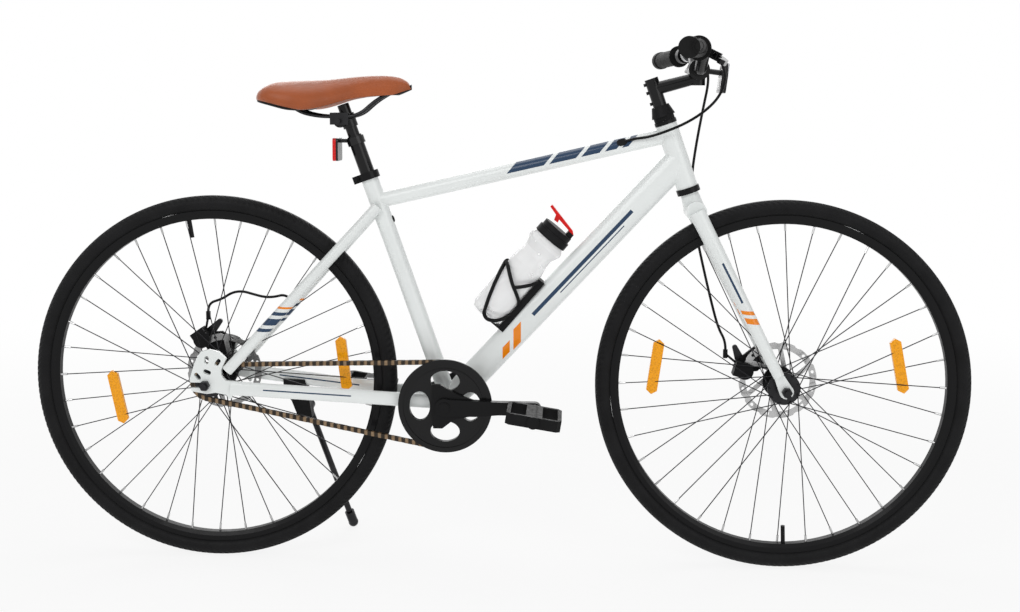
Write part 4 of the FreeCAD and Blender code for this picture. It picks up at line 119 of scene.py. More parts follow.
class Look(Nodes):
    """A material built from nodes, with coordinates in the part's own frame."""

    def __init__(self, name, **sockets):
        self.made = bpy.data.materials.new(name)
        self.made.use_nodes = True
        super().__init__(self.made.node_tree)
        self.shader = self.nodes["Principled BSDF"]
        self.place = self.add("ShaderNodeTexCoord").outputs["Object"]
        for socket, value in sockets.items():
            self.shader.inputs[socket.replace("_", " ")].default_value = value

    def dot(self, vector, axis):
        return self.add("ShaderNodeVectorMath", vector, axis, operation="DOT_PRODUCT").outputs["Value"]

    def from_point(self, origin):
        return self.add("ShaderNodeVectorMath", self.place, origin, operation="SUBTRACT").outputs["Vector"]

    def noise(self, scale, detail=3, place=None):
        node = self.add("ShaderNodeTexNoise")
        node.inputs["Scale"].default_value = scale
        node.inputs["Detail"].default_value = detail
        self.links.new(place or self.place, node.inputs["Vector"])
        return node.outputs["Fac"]

    def patches(self, scale, detail=3):
        """Soft patches between 0 and 1."""
        return self.spread(self.noise(scale, detail), low=0, high=1)

    def cells(self, scale, feature="F1"):
        node = self.add("ShaderNodeTexVoronoi", feature=feature)
        node.inputs["Scale"].default_value = scale
        self.links.new(self.place, node.inputs["Vector"])
        return node.outputs["Distance"]

    def mix(self, factor, first, second):
        """One colour where the factor is 0 and another where it is 1; each is a socket or three numbers."""
        node = self.add("ShaderNodeMix", data_type="RGBA")
        self.feed(node.inputs[0], factor)
        for index, value in ((6, first), (7, second)):
            self.feed(node.inputs[index], (*value, 1) if isinstance(value, tuple) else value)
        return node.outputs[2]

    def colour(self, tint):
        self.links.new(tint, self.shader.inputs["Base Color"])

    def rough(self, factor, low, high):
        self.links.new(self.spread(factor, low, high), self.shader.inputs["Roughness"])

    def bump(self, height, depth, strength):
        node = self.add("ShaderNodeBump")
        node.inputs["Strength"].default_value = strength
        node.inputs["Distance"].default_value = depth
        self.links.new(height, node.inputs["Height"])
        self.links.new(node.outputs["Normal"], self.shader.inputs["Normal"])

    def stripe(self, origin, along, up, along_span, up_span):
        """1 inside a band: its span along one direction and its span along another."""
        offset = self.from_point(origin)
        masks = []
        for axis, (low, high) in ((along, along_span), (up, up_span)):
            masks.append(self.math("COMPARE", self.dot(offset, axis), (low + high) / 2, (high - low) / 2))
        return self.math("MULTIPLY", *masks)


def shade(colour, share):
    return tuple(channel * share for channel in colour)


def paint(name, colour, rough=(0.16, 0.24), coat=0.25, stripes=(), shine=0.3):
    """Enamel under a clear coat: faint mottling, fine orange peel, and painted stripes."""
    look = Look(name, Specular_IOR_Level=shine, Coat_Weight=coat, Coat_Roughness=0.06)
    tint = look.mix(look.patches(scale=9), shade(colour, 0.94), colour)
    for stripe_colour, *band in stripes:
        tint = look.mix(look.stripe(*band), tint, stripe_colour)
    look.colour(tint)
    look.rough(look.noise(scale=60), *rough)
    look.bump(look.noise(scale=260, detail=1), depth=0.00002, strength=0.1)
    return look.made


def moulded(name, colour, rough=(0.42, 0.58), grain=1400, depth=0.00008, shine=0.1):
    """Moulded plastic or rubber with a fine grain and slightly scuffed tone."""
    look = Look(name, Specular_IOR_Level=shine)
    look.colour(look.mix(look.patches(scale=25, detail=6), shade(colour, 0.8), shade(colour, 1.3)))
    look.rough(look.noise(scale=120), *rough)
    look.bump(look.cells(grain), depth, strength=0.4)
    return look.made


def metal(name, colour, rough=(0.25, 0.4)):
    """Bare or plated metal with a fine grain and uneven tone."""
    look = Look(name, Metallic=1.0)
    grain = look.noise(scale=400, detail=2)
    look.colour(look.mix(look.patches(scale=40), shade(colour, 0.7), colour))
    look.rough(grain, *rough)
    look.bump(grain, depth=0.00003, strength=0.3)
    return look.made


def lens(name, colour, axis=None, edge=0.0):
    """Prismatic reflector plastic under a smooth coat; what lies short of the edge is its black holder."""
    look = Look(name, Coat_Weight=0.2, Coat_Roughness=0.06, Specular_IOR_Level=0.2)
    prism = look.cells(scale=260)
    tint = look.mix(look.spread(prism, low=0, high=1, start=0.1, end=0.6), shade(colour, 0.72), colour)
    if axis:
        tint = look.mix(look.math("GREATER_THAN", look.dot(look.place, axis), edge), BLACK, tint)
    look.colour(tint)
    look.rough(look.noise(scale=80), low=0.18, high=0.3)
    look.bump(prism, depth=0.0004, strength=0.6)
    return look.made


def leather(name, colour):
    """Smooth synthetic leather: pebbled grain, soft mottling and painted shade darkening the recesses between
    pebbles.
    """
    look = Look(name, Sheen_Weight=0.04, Coat_Weight=0.05, Coat_Roughness=0.35, Specular_IOR_Level=0.3)
    grain = look.cells(scale=520, feature="DISTANCE_TO_EDGE")
    tone = look.mix(look.patches(scale=14, detail=5), shade(colour, 0.82), shade(colour, 1.12))
    # Painted shade: the recesses between the grain's pebbles are drawn darker in colour.
    crease_shade = look.spread(grain, low=0.22, high=0, start=0, end=0.09)
    look.colour(look.mix(crease_shade, tone, shade(colour, 0.6)))
    look.rough(look.noise(scale=70), low=0.34, high=0.46)
    pebbles = look.spread(grain, low=0, high=1, start=0, end=0.12)
    height = look.math("ADD", pebbles, look.noise(scale=1500, detail=2))
    look.bump(height, depth=0.00012, strength=0.35)
    return look.made


def clear_plastic(name, colour):
    """Squeeze-bottle plastic: translucent, a little cloudy, with faint flow marks."""
    look = Look(name, Transmission_Weight=0.65, IOR=1.04)
    look.colour(look.mix(look.patches(scale=18), shade(colour, 0.95), colour))
    look.rough(look.noise(scale=45), low=0.16, high=0.28)
    look.bump(look.noise(scale=110, detail=2), depth=0.0004, strength=0.2)
    return look.made


def chain_metal(name, pitch):
    """Bronzed chain steel, darker and oilier between one link and the next."""
    look = Look(name, Metallic=0.85)
    turn = look.math("MULTIPLY", look.dot(look.place, AHEAD), 2 * math.pi / pitch)
    link = look.spread(look.math("SINE", turn), low=0, high=1, start=-0.2, end=0.6)
    worn = look.mix(look.patches(scale=220), (0.20, 0.135, 0.08), (0.30, 0.21, 0.13))
    look.colour(look.mix(link, (0.035, 0.028, 0.022), worn))
    look.rough(look.noise(scale=300), low=0.3, high=0.5)
    look.bump(look.noise(scale=900), depth=0.00005, strength=0.3)
    return look.made


def rotor_steel(name, centre, tone):
    """Ground steel with fine rings round its own axle; its brightness is given per rotor, and the rear one's is
    lowered as painted shade.
    """
    look = Look(name, Metallic=1.0, Anisotropic=0.3)
    apart = look.add("ShaderNodeSeparateXYZ", look.from_point(centre)).outputs
    squares = [look.math("MULTIPLY", apart[axis], apart[axis]) for axis in (0, 2)]
    radius = look.math("SQRT", look.math("ADD", *squares))
    ring_place = look.add("ShaderNodeCombineXYZ", look.math("MULTIPLY", radius, 2500)).outputs[0]
    rings = look.noise(scale=1, detail=2, place=ring_place)
    look.colour(look.mix(look.spread(rings, low=0, high=1), (tone * 0.7,) * 3, (tone,) * 3))
    look.rough(rings, low=0.24, high=0.4)
    look.bump(rings, depth=0.00002, strength=0.3)
    return look.made


# Stripes; each row: colour, origin, two directions, and the span along each of them

def slanted(colour, origin, along, up, slant, spans, up_span):
    """A row of slanted bars across a tube."""
    lean = along + up * slant
    return [(colour, origin, lean, up, span, up_span) for span in spans]


TOP_BARS = slanted(
    NAVY, TOP_FOOT, TOP_AXIS, TOP_UP, -1.3,
    [(0.250, 0.320), (0.330, 0.380), (0.390, 0.424), (0.434, 0.456), (0.466, 0.478)], (-0.003, 0.02))
DOWN_LEVEL = DOWN_FOOT.dot(DOWN_UP)
DOWN_BARS = [
    (ORANGE, ORIGIN, AHEAD, DOWN_UP, (0.0135, 0.027), (DOWN_LEVEL - 0.0168, DOWN_LEVEL - 0.0012)),
    (ORANGE, ORIGIN, AHEAD, DOWN_UP, (0.0335, 0.0475), (DOWN_LEVEL - 0.0195, DOWN_LEVEL + 0.0075)),
    (NAVY, DOWN_FOOT, DOWN_AXIS, DOWN_UP, (0.235, 0.500), (-0.0035, 0.0035)),
    (NAVY, DOWN_FOOT, DOWN_AXIS, DOWN_UP, (0.300, 0.470), (-0.0095, -0.0075))]
STAY_BARS = [
    *slanted(NAVY, STAY_FOOT, STAY_AXIS, STAY_UP, 0.8,
             [(0.098, 0.106), (0.114, 0.130), (0.138, 0.146)], (-0.02, 0.02)),
    *slanted(ORANGE, STAY_FOOT, STAY_AXIS, STAY_UP, 0.8, [(0.154, 0.159)], (-0.02, 0.02))]
LEG_BARS = [
    *slanted(ORANGE, FRONT, LEG_AXIS, LEG_SIDE, -0.6,
             [(-0.166, -0.158), (-0.151, -0.139)], (-0.009, 0.011)),
    (NAVY, FRONT, LEG_AXIS, LEG_SIDE, (-0.262, -0.182), (-0.002, 0.002))]
CHAIN_BARS = [(NAVY, BRACKET, CHAIN_AXIS, CHAIN_UP, (0.175, 0.335), (0.0005, 0.003))]

# Looks, and the nodes that wear them

RED_FACE_DEPTH = 0.006
CLEAR_FACE_DEPTH = 0.003

white = paint("frame_white", WHITE)
black_paint = paint("gloss_black", BLACK, rough=(0.16, 0.26), coat=0.2, shine=0.12)
satin_black = paint("satin_black", BLACK, rough=(0.28, 0.4), coat=0.06, shine=0.1)
black_plastic = moulded("black_plastic", (0.008, 0.008, 0.0085))
rubber = moulded("rubber", (0.008, 0.008, 0.008), rough=(0.5, 0.66), grain=900)
tyre_rubber = moulded("tyre_rubber", (0.009, 0.009, 0.0095), rough=(0.48, 0.62), grain=700, depth=0.0002)
housing = moulded("cable_housing", (0.006, 0.006, 0.0065), rough=(0.26, 0.36), grain=2200, depth=0.00003)
red_plastic = moulded("red_plastic", (0.80, 0.012, 0.01), rough=(0.26, 0.38), grain=1800, depth=0.00003,
                      shine=0.2)
dark_steel = metal("dark_steel", (0.035, 0.035, 0.037))
spoke_black = metal("spoke_black", (0.028, 0.028, 0.03), rough=(0.28, 0.4))
steel = metal("steel", (0.55, 0.55, 0.55))
chain_bronze = chain_metal("chain_bronze", CHAIN_PITCH)
orange_lens = lens("orange_lens", (1.0, 0.40, 0.005))
red_lens = lens("red_lens", (0.72, 0.012, 0.012), axis=ASTERN,
                edge=-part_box("rear_reflector")[0][0] - RED_FACE_DEPTH)
clear_lens = lens("clear_lens", (0.62, 0.63, 0.65), axis=AHEAD,
                  edge=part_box("front_reflector")[1][0] - CLEAR_FACE_DEPTH)
bell_grey = paint("bell_grey", (0.15, 0.155, 0.16), rough=(0.18, 0.28), coat=0.8)
saddle_leather = leather("saddle_leather", (0.36, 0.085, 0.022))
bottle_plastic = clear_plastic("bottle_plastic", (0.985, 0.986, 0.988))

FINISHES = {
    white: ["head_tube", "seat_tube", "bottom_bracket_shell", "dropouts"],
    paint("top_tube_white", WHITE, stripes=TOP_BARS): ["top_tube"],
    paint("down_tube_white", WHITE, stripes=DOWN_BARS): ["down_tube"],
    paint("seatstay_white", WHITE, stripes=STAY_BARS): ["seatstays"],
    paint("chainstay_white", WHITE, stripes=CHAIN_BARS): ["chainstays"],
    paint("fork_white", WHITE, stripes=LEG_BARS): ["fork"],
    black_paint: ["stem", "handlebar", "seatpost", "chainring", "lever_right", "lever_left"],
    satin_black: ["cranks", "seat_collar", "bearing_cups", "lever_brackets", "front_rim", "rear_rim"],
    black_plastic: ["saddle_base", "bottle_cage", "headset_cover", "kickstand_bracket", "pedal_right",
                    "pedal_left", "bottle_cap", "front_caliper", "rear_caliper"],
    rubber: ["grips", "front_cable", "rear_cable_front", "rear_cable_rear"],
    tyre_rubber: ["front_tyre", "rear_tyre"],
    dark_steel: ["saddle_rails", "saddle_clamp", "front_hub", "rear_hub", "front_axle", "rear_axle",
                 "freewheel", "front_caliper_arm", "rear_caliper_arm", "kickstand_leg", "bell_lever"],
    spoke_black: ["front_spokes", "rear_spokes"],
    chain_bronze: ["chain"],
    orange_lens: ["front_wheel_reflectors", "rear_wheel_reflectors"],
    red_lens: ["rear_reflector"],
    clear_lens: ["front_reflector"],
    bell_grey: ["bell_body"],
    saddle_leather: ["saddle_cover"],
    bottle_plastic: ["bottle"],
    red_plastic: ["bottle_spout"],
    rotor_steel("front_rotor_steel", FRONT, 0.6): ["front_rotor"],
    # Painted shade: the rear rotor's steel is drawn darker than the front's, for the shadow it sits in on the
    # bike's far side.
    rotor_steel("rear_rotor_steel_painted_shade", REAR, 0.35): ["rear_rotor"],
}
for finish, names in FINISHES.items():
    for name in names:
        NODES[name].data.materials.clear()
        NODES[name].data.materials.append(finish)


def link(name, data):
    """A new object in the scene."""
    made = bpy.data.objects.new(name, data)
    bpy.context.scene.collection.objects.link(made)
    return made


def add_mesh(name, verts, faces, finish, smooth=True):
    data = bpy.data.meshes.new(name)
    data.from_pydata(verts, [], faces)
    data.update()
    data.materials.append(finish)
    made = link(name, data)
    if smooth:
        data.shade_smooth()
    return made


def as_shown(made):
    """A new mesh of an object's shape after its modifiers or its curve's thickness."""
    bpy.context.view_layer.update()
    return bpy.data.meshes.new_from_object(made.evaluated_get(bpy.context.evaluated_depsgraph_get()))


def turns(count):
    """Angles once round, in even steps."""
    return [2 * math.pi * step / count for step in range(count)]


# Tyres: a smooth carcass with a plain centre band and slanted grooves cut into both shoulders

# Each row: share of the half width, then share of the tyre's height above the rim
TYRE_CURVE = [
    (0.0, 1.0), (0.18, 0.997), (0.36, 0.982), (0.46, 0.965), (0.58, 0.935), (0.70, 0.885), (0.81, 0.815),
    (0.90, 0.72), (0.96, 0.61), (0.99, 0.49), (0.985, 0.37), (0.94, 0.25), (0.85, 0.14), (0.70, 0.05),
    (0.55, 0.0)]
TYRE_INSET = 0.0002
GROOVES = 190
GROOVE_DEPTH = 0.0011
GROOVED_ROWS = range(3, 8)
# Steps round the tyre from one groove to the next, and how many of them are cut
GROOVE_STEPS = 5
CUT_STEPS = 2


def make_tyre(prefix, centre):
    """The tyre's skin, from bead to bead, with its shoulder grooves as real hollows."""
    side = list(enumerate(TYRE_CURVE))
    rows = [(-TYRE_HALF_WIDTH * y, share, row) for row, (y, share) in reversed(side)]
    rows += [(TYRE_HALF_WIDTH * y, share, row) for row, (y, share) in side[1:]]
    height = TYRE_RADIUS - TYRE_INSET - RIM_RADIUS
    count = GROOVES * GROOVE_STEPS
    verts = []
    faces = []
    for step, angle in enumerate(turns(count)):
        for y, share, row in rows:
            radius = RIM_RADIUS + share * height
            if row in GROOVED_ROWS and (step + row) % GROOVE_STEPS < CUT_STEPS:
                radius -= GROOVE_DEPTH
                y *= 1 - GROOVE_DEPTH / TYRE_HALF_WIDTH
            verts.append(centre + Vector((math.cos(angle) * radius, y, math.sin(angle) * radius)))
    wide = len(rows)
    for step in range(count):
        start = step * wide
        after = (step + 1) % count * wide
        for row in range(wide - 1):
            faces.append((start + row, start + row + 1, after + row + 1, after + row))
    tyre = add_mesh(f"{prefix}_tyre_skin", verts, faces, tyre_rubber)
    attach(tyre, f"{prefix}_wheel")
    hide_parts(f"{prefix}_tyre")


make_tyre("front", FRONT)
make_tyre("rear", REAR)

# Saddle: a padded cover over a thin black tray

SADDLE_BACK = 0.0930
SADDLE_LONG = 0.2805
SADDLE_STEPS = 56
# Each row: distance ahead of the rear axle, then the height or half width there
SADDLE_TOP = [
    (0.093, 0.878), (0.0965, 0.8875), (0.108, 0.896), (0.123, 0.8995), (0.156, 0.9005), (0.194, 0.9015),
    (0.223, 0.903), (0.249, 0.906), (0.272, 0.9095), (0.301, 0.9125), (0.331, 0.9132), (0.3535, 0.9098),
    (0.3665, 0.9025), (0.374, 0.8905)]
SADDLE_EDGE = [
    (0.093, 0.867), (0.119, 0.861), (0.156, 0.8515), (0.182, 0.846), (0.205, 0.8495), (0.231, 0.857),
    (0.257, 0.866), (0.2865, 0.8715), (0.316, 0.874), (0.342, 0.8755), (0.374, 0.8885)]
SADDLE_HALF = [
    (0.093, 0.036), (0.098, 0.052), (0.108, 0.064), (0.122, 0.072), (0.142, 0.077), (0.165, 0.077),
    (0.190, 0.071), (0.215, 0.060), (0.240, 0.048), (0.270, 0.037), (0.300, 0.030), (0.330, 0.025),
    (0.352, 0.021), (0.366, 0.014), (0.374, 0.006)]
# Each row: distance ahead of the rear axle, then how far the tray's underside is below the cover's edge
TRAY_DROP = [
    (0.093, 0.0045), (0.150, 0.0045), (0.172, 0.001), (0.190, -0.007), (0.332, -0.007), (0.346, 0.0022),
    (0.374, 0.0022)]
TRAY_DEEP = 0.009
# Half cross-sections; each row: share of the half width, then share of the height
COVER_RING = [
    (0.0, 0.30), (0.45, 0.25), (0.80, 0.08), (0.93, 0.0), (0.985, 0.12), (1.0, 0.30), (0.97, 0.52),
    (0.88, 0.72), (0.72, 0.86), (0.50, 0.945), (0.25, 0.985), (0.0, 1.0)]
TRAY_RING = [(0.0, 0.5), (0.5, 0.35), (0.84, 0.0), (0.93, 0.3), (0.9, 1.0), (0.0, 1.0)]
# The cover's padding: the push of the simulated cloth, how long it runs, and the most that it may swell
PADDING_PRESSURE = 4
PADDING_FRAMES = 20
PADDING_SWELL = 0.003
UNDERSIDE_NORMAL = -0.2


def read_table(table, place):
    """Reads a table of places and amounts, in straight lines from row to row."""
    for (low, first), (high, second) in zip(table, table[1:]):
        if place <= high:
            share = max(0.0, (place - low) / (high - low))
            return first + (second - first) * share
    return table[-1][1]


def saddle_top(place):
    return read_table(SADDLE_TOP, place)


def saddle_edge(place):
    return read_table(SADDLE_EDGE, place)


def tray_foot(place):
    return saddle_edge(place) - read_table(TRAY_DROP, place)


def tray_top(place):
    return saddle_edge(place) + TRAY_DEEP


def saddle_rings(ring, low, high):
    """A closed skin through a row of cross-sections along the saddle."""
    full = [(-y, z) for y, z in ring] + [(y, z) for y, z in ring[-2:0:-1]]
    verts = []
    for step in range(SADDLE_STEPS + 1):
        turn = math.pi * step / SADDLE_STEPS
        place = SADDLE_BACK + SADDLE_LONG * (1 - math.cos(turn)) / 2
        foot = low(place)
        rise = high(place) - foot
        half = read_table(SADDLE_HALF, place)
        for y, z in full:
            verts.append((REAR.x + place, y * half, foot + z * rise))
    count = len(full)
    last = SADDLE_STEPS * count
    faces = [tuple(range(count)), tuple(last + corner for corner in reversed(range(count)))]
    for step in range(SADDLE_STEPS):
        start = step * count
        following = start + count
        for corner in range(count):
            after = (corner + 1) % count
            faces.append((start + corner, following + corner, following + after, start + after))
    return verts, faces


def settle(made):
    """Keeps the shape that an object's modifiers give it."""
    data = as_shown(made)
    made.modifiers.clear()
    made.data = data


def swell(made):
    """Pads the cover: a cloth under pressure, held along its underside."""
    start = [vertex.co.copy() for vertex in made.data.vertices]
    held = made.vertex_groups.new(name="held")
    underside = [vertex.index for vertex in made.data.vertices if vertex.normal.z < UNDERSIDE_NORMAL]
    held.add(underside, 1, "REPLACE")
    cloth = made.modifiers.new("cloth", "CLOTH").settings
    cloth.vertex_group_mass = "held"
    cloth.use_pressure = True
    cloth.uniform_pressure_force = PADDING_PRESSURE
    cloth.effector_weights.gravity = 0
    for step in range(1, PADDING_FRAMES + 1):
        bpy.context.scene.frame_set(step)
    settle(made)
    bpy.context.scene.frame_set(1)
    for vertex, place in zip(made.data.vertices, start):
        moved = vertex.co - place
        if moved.length > PADDING_SWELL:
            vertex.co = place + moved.normalized() * PADDING_SWELL


def round_off(made, times):
    """Smooths a mesh and divides its faces once."""
    soft = made.modifiers.new("soft", "SMOOTH")
    soft.factor = 0.5
    soft.iterations = times
    fine = made.modifiers.new("fine", "SUBSURF")
    fine.levels = fine.render_levels = 1
    settle(made)
    made.data.shade_smooth()


def make_saddle():
    """The cover, swollen by its padding, and the tray below it."""
    made = add_mesh("saddle_skin", *saddle_rings(COVER_RING, saddle_edge, saddle_top), saddle_leather)
    swell(made)
    round_off(made, 3)
    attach(made, "saddle")
    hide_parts("saddle_cover")
    tray = add_mesh("saddle_tray", *saddle_rings(TRAY_RING, tray_foot, tray_top), black_plastic)
    round_off(tray, 1)
    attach(tray, "saddle")
    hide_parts("saddle_base")


make_saddle()

# Cables

CABLE_RADIUS = 0.0025
FRONT_CABLE = [
    (0.3776, 0.1303, 0.9492), (0.3812, 0.1147, 0.9498), (0.3915, 0.096, 0.94), (0.3955, 0.076, 0.908),
    (0.3835, 0.062, 0.855), (0.3715, 0.055, 0.79), (0.3635, 0.053, 0.73), (0.3655, 0.053, 0.67),
    (0.3765, 0.054, 0.61), (0.3905, 0.056, 0.55), (0.4055, 0.057, 0.49), (0.4195, 0.057, 0.44),
    (0.4332, 0.0519, 0.4161), (0.4332, 0.0519, 0.4001)]
REAR_CABLE_FRONT = [
    (0.3776, -0.1303, 0.9492), (0.3812, -0.1147, 0.9498), (0.3975, -0.104, 0.935), (0.4055, -0.092, 0.905),
    (0.3955, -0.078, 0.875), (0.3725, -0.062, 0.85), (0.3415, -0.046, 0.829), (0.3055, -0.031, 0.813),
    (0.2755, -0.021, 0.803), (0.2505, -0.0174, 0.8006), (0.2354, -0.0139, 0.7952)]
REAR_CABLE_REAR = [
    (-0.4011, 0.0513, 0.4881), (-0.4101, 0.05, 0.496), (-0.4325, 0.06, 0.489), (-0.4525, 0.062, 0.488),
    (-0.4745, 0.064, 0.493), (-0.4965, 0.065, 0.499), (-0.5175, 0.065, 0.496), (-0.5365, 0.064, 0.483),
    (-0.5641, 0.0634, 0.4747), (-0.5641, 0.0634, 0.4587)]


def loose_parts(name):
    """The separate solids of a node, each as its corners and faces, the one with most corners first."""
    data = NODES[name].data
    leader = list(range(len(data.vertices)))

    def lead(corner):
        while leader[corner] != corner:
            leader[corner] = leader[leader[corner]]
            corner = leader[corner]
        return corner

    places = {}
    for vertex in data.vertices:
        key = tuple(round(value, 6) for value in vertex.co)
        leader[vertex.index] = places.setdefault(key, vertex.index)
    for face in data.polygons:
        for corner in face.vertices:
            leader[lead(corner)] = lead(face.vertices[0])
    parts = {}
    for face in data.polygons:
        parts.setdefault(lead(face.vertices[0]), []).append(face)
    made = []
    for faces in parts.values():
        corners = sorted({corner for face in faces for corner in face.vertices})
        order = {corner: place for place, corner in enumerate(corners)}
        made.append(([data.vertices[corner].co.copy() for corner in corners],
                     [tuple(order[corner] for corner in face.vertices) for face in faces]))
    return sorted(made, key=lambda part: -len(part[0]))


def make_cable(name, points, body, other=None):
    """A smooth round cable along its route, with its solid's end pieces; one that runs between two bodies is
    left where it lies, fixed to neither.
    """
    curve = bpy.data.curves.new(name, "CURVE")
    curve.dimensions = "3D"
    curve.bevel_depth = CABLE_RADIUS
    curve.bevel_resolution = 4
    curve.resolution_u = 10
    curve.use_fill_caps = True
    spline = curve.splines.new("NURBS")
    spline.points.add(len(points) - 1)
    for knot, place in zip(spline.points, points):
        knot.co = (*place, 1)
    spline.order_u = 3
    spline.use_endpoint_u = True
    drawn = link(name + "_line", curve)
    data = as_shown(drawn)
    bpy.data.objects.remove(drawn)
    verts = [vertex.co.copy() for vertex in data.vertices]
    faces = [tuple(face.vertices) for face in data.polygons]
    smooth = len(faces)
    for corners, end_faces in loose_parts(name)[1:]:
        faces += [tuple(len(verts) + corner for corner in face) for face in end_faces]
        verts += corners
    made = add_mesh(name + "_skin", verts, faces, housing)
    for face in made.data.polygons[smooth:]:
        face.use_smooth = False
    if other:
        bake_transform(made)
    else:
        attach(made, body)
    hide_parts(name)


make_cable("front_cable", FRONT_CABLE, "steering")
make_cable("rear_cable_front", REAR_CABLE_FRONT, "frame", "steering")
make_cable("rear_cable_rear", REAR_CABLE_REAR, "frame")

# Small fittings

NIPPLE_LONG = 0.013
NIPPLE_RADIUS = 0.0021
NIPPLE_SIDES = 8
PLUG_UP = 0.3555
PLUG_OUT = 0.0024
PLUG_HALF_WIDE = 0.0045
PLUG_HALF_TALL = 0.0068
PLUG_CROWN = 0.003
PLUG_SIDES = 28
# Each row: share of the plug's oval, then how far out it lies
PLUG_ROWS = [(0.6, 0.0027), (0.9, 0.0017), (1.0, 0.0004), (1.0, -0.002)]
GRIP_END_BAND = 0.0012
RING_RADII = (0.0125, 0.0075)
RING_SINK = 0.0006
RING_SIDES = 28
RING_BAR_RADIUS = 0.0005
RING_BAR_SIDES = 6


def add_tubes(name, lines, radius, sides, finish, body):
    """Short round bars between pairs of points, as one piece."""
    verts = []
    faces = []
    for start, end in lines:
        along = (end - start).normalized()
        side = along.orthogonal().normalized()
        other = along.cross(side)
        first = len(verts)
        last = first + sides
        for place in (start, end):
            for turn in turns(sides):
                verts.append(place + (side * math.cos(turn) + other * math.sin(turn)) * radius)
        for step in range(sides):
            after = (step + 1) % sides
            faces.append((first + step, first + after, last + after, last + step))
        faces.append(tuple(last - 1 - step for step in range(sides)))
        faces.append(tuple(last + step for step in range(sides)))
    made = add_mesh(name, verts, faces, finish, False)
    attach(made, body)


def spoke_nipples(prefix, centre):
    """A nipple at the rim end of each spoke."""
    lines = []
    for corners, _ in loose_parts(f"{prefix}_spokes"):
        corners.sort(key=lambda corner: (corner - centre).length)
        half = len(corners) // 2
        inner = sum(corners[:half], Vector()) / half
        outer = sum(corners[half:], Vector()) / (len(corners) - half)
        lines.append((outer - (outer - inner).normalized() * NIPPLE_LONG, outer))
    add_tubes(f"{prefix}_nipples", lines, NIPPLE_RADIUS, NIPPLE_SIDES, steel, f"{prefix}_wheel")


spoke_nipples("front", FRONT)
spoke_nipples("rear", REAR)


def seat_tube_plug():
    """An oval rubber plug in the front of the seat tube."""
    middle = BRACKET + SEAT_UP * PLUG_UP + SEAT_AHEAD * (SEAT_TUBE_RADIUS + PLUG_OUT)
    verts = [middle + SEAT_AHEAD * PLUG_CROWN]
    for size, out in PLUG_ROWS:
        for turn in turns(PLUG_SIDES):
            oval = ACROSS * math.cos(turn) * PLUG_HALF_WIDE + SEAT_UP * math.sin(turn) * PLUG_HALF_TALL
            verts.append(middle + oval * size + SEAT_AHEAD * out)
    last_row = len(PLUG_ROWS) - 1
    faces = []
    for step in range(PLUG_SIDES):
        after = (step + 1) % PLUG_SIDES
        faces.append((0, 1 + step, 1 + after))
        for row in range(last_row):
            near = 1 + row * PLUG_SIDES
            far = near + PLUG_SIDES
            faces.append((near + step, far + step, far + after, near + after))
    faces.append(tuple(1 + last_row * PLUG_SIDES + step for step in range(PLUG_SIDES)))
    plug = add_mesh("seat_tube_plug", verts, faces, rubber)
    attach(plug, "frame")


seat_tube_plug()


def grip_caps():
    """Raised rings on the closed outer end of each grip."""
    low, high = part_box("grips")
    data = NODES["grips"].data
    for name, side, reach in (("right", -1, low[1]), ("left", 1, high[1])):
        rim = [vertex.co for vertex in data.vertices if abs(vertex.co.y - reach) < GRIP_END_BAND]
        middle = sum(rim, Vector()) / len(rim)
        middle.y = reach - side * RING_SINK
        lines = []
        for radius in RING_RADII:
            corners = [middle + Vector((math.cos(turn), 0, math.sin(turn))) * radius
                       for turn in turns(RING_SIDES)]
            lines += zip(corners, corners[1:] + corners[:1])
        add_tubes(f"grip_rings_{name}", lines, RING_BAR_RADIUS, RING_BAR_SIDES, rubber, "steering")


grip_caps()


# Camera, light and floor

def aim(place, target, roll=0.0):
    """A turn that looks from place to target, rolled about the line of sight."""
    back = (place - target).normalized()
    right = UPWARD.cross(back).normalized()
    up = back.cross(right)
    turned_right = right * math.cos(roll) + up * math.sin(roll)
    turned_up = up * math.cos(roll) - right * math.sin(roll)
    turn = Matrix((turned_right, turned_up, back)).transposed().to_4x4()
    return Matrix.Translation(place) @ turn


AZIMUTH = math.radians(2.87)
ELEVATION = math.radians(5.29)
ROLL = math.radians(0.24)
DISTANCE = 2.2266
TARGET = Vector((0.02008, 0, 0.65595))
LEVEL_BACK = Vector((math.sin(AZIMUTH), -math.cos(AZIMUTH), 0))
TO_CAMERA = LEVEL_BACK * math.cos(ELEVATION) + UPWARD * math.sin(ELEVATION)
optics = bpy.data.cameras.new("camera")
optics.sensor_width = 36
optics.lens = 42.418
optics.shift_x = 0.0028
optics.shift_y = -0.0884
camera = link("camera", optics)
camera.matrix_world = aim(TARGET + TO_CAMERA * DISTANCE, TARGET, ROLL)
bpy.context.scene.camera = camera

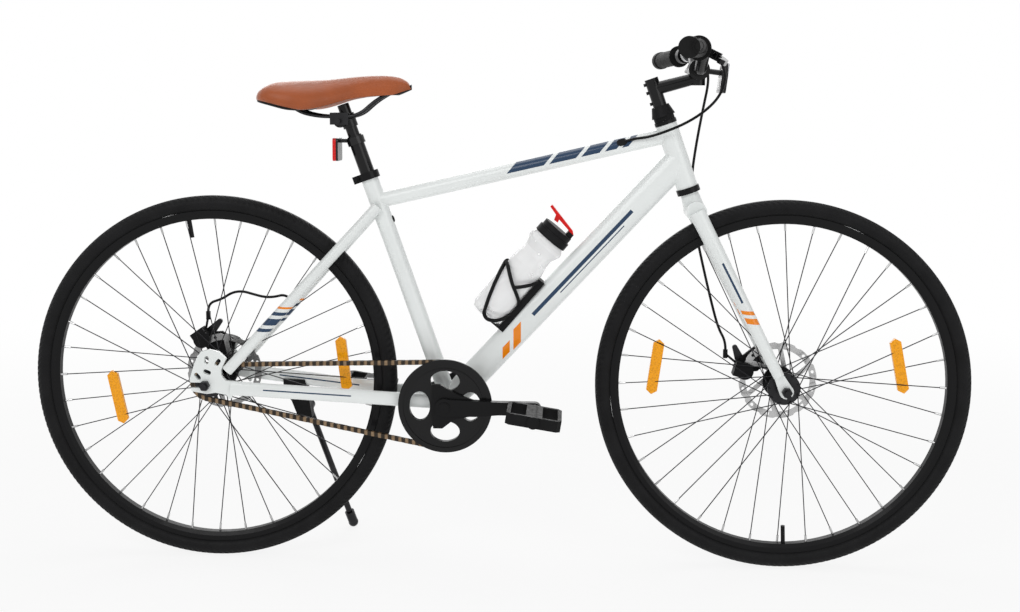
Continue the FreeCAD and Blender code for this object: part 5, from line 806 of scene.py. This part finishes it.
# Each row: name, place, what it is aimed at, width and height, power
LIGHTS = [
    ("key", (-1.6, -3.2, 3.0), (0, 0, 0.5), (2.6, 2.0), 52),
    ("fill", (2.6, -2.8, 1.8), (0, 0, 0.5), (2.4, 2.0), 26),
    ("top", (0.2, 0.4, 3.4), (0, 0, 0.4), (3.0, 2.0), 38),
    ("rim", (-0.5, 3.2, 1.8), (0, 0, 0.6), (3.0, 1.6), 26)]
for name, place, target, size, power in LIGHTS:
    data = bpy.data.lights.new(name, "AREA")
    data.shape = "RECTANGLE"
    data.size, data.size_y = size
    data.energy = power
    link(name, data).matrix_world = aim(Vector(place), Vector(target))

# The sky is plain white to the camera, in mirrors and through clear plastic, and lights the rest dimly
SKY_LIGHT = 0.22
world = bpy.data.worlds.new("studio")
bpy.context.scene.world = world
world.use_nodes = True
sky = Nodes(world.node_tree)
rays = sky.add("ShaderNodeLightPath").outputs
bent = sky.math("MAXIMUM", rays["Is Glossy Ray"], rays["Is Transmission Ray"])
seen = sky.math("MAXIMUM", rays["Is Camera Ray"], bent)
background = sky.nodes["Background"]
background.inputs["Color"].default_value = (1, 1, 1, 1)
sky.links.new(sky.spread(seen, low=SKY_LIGHT, high=1, start=0, end=1), background.inputs["Strength"])

# The floor takes shadows near the bike and glows white farther off
FLOOR_HALF = 12
FLOOR_DROP = 0.0005
FADE_START = 0.9
FADE_END = 3.2
GLOW_NEAR = 0.86
GLOW_FAR = 1.0
ground = Look("pale_floor", Base_Color=(0.92, 0.92, 0.92, 1), Roughness=0.9, Specular_IOR_Level=0.1)
away = ground.add("ShaderNodeVectorMath", ground.place, operation="LENGTH").outputs["Value"]
fade = ground.add("ShaderNodeMapRange", away, FADE_START, FADE_END, GLOW_NEAR, GLOW_FAR,
                  interpolation_type="SMOOTHSTEP").outputs[0]
glow = ground.add("ShaderNodeEmission", (1, 1, 1, 1)).outputs[0]
surface = ground.add("ShaderNodeMixShader", fade, ground.shader.outputs[0], glow).outputs[0]
ground.links.new(surface, ground.nodes["Material Output"].inputs["Surface"])
corners = [(x * FLOOR_HALF, y * FLOOR_HALF, -FLOOR_DROP) for x, y in ((-1, -1), (1, -1), (1, 1), (-1, 1))]
floor = add_mesh("floor", corners, [(0, 1, 2, 3)], ground.made, False)
bpy.context.scene.view_settings.view_transform = "Standard"
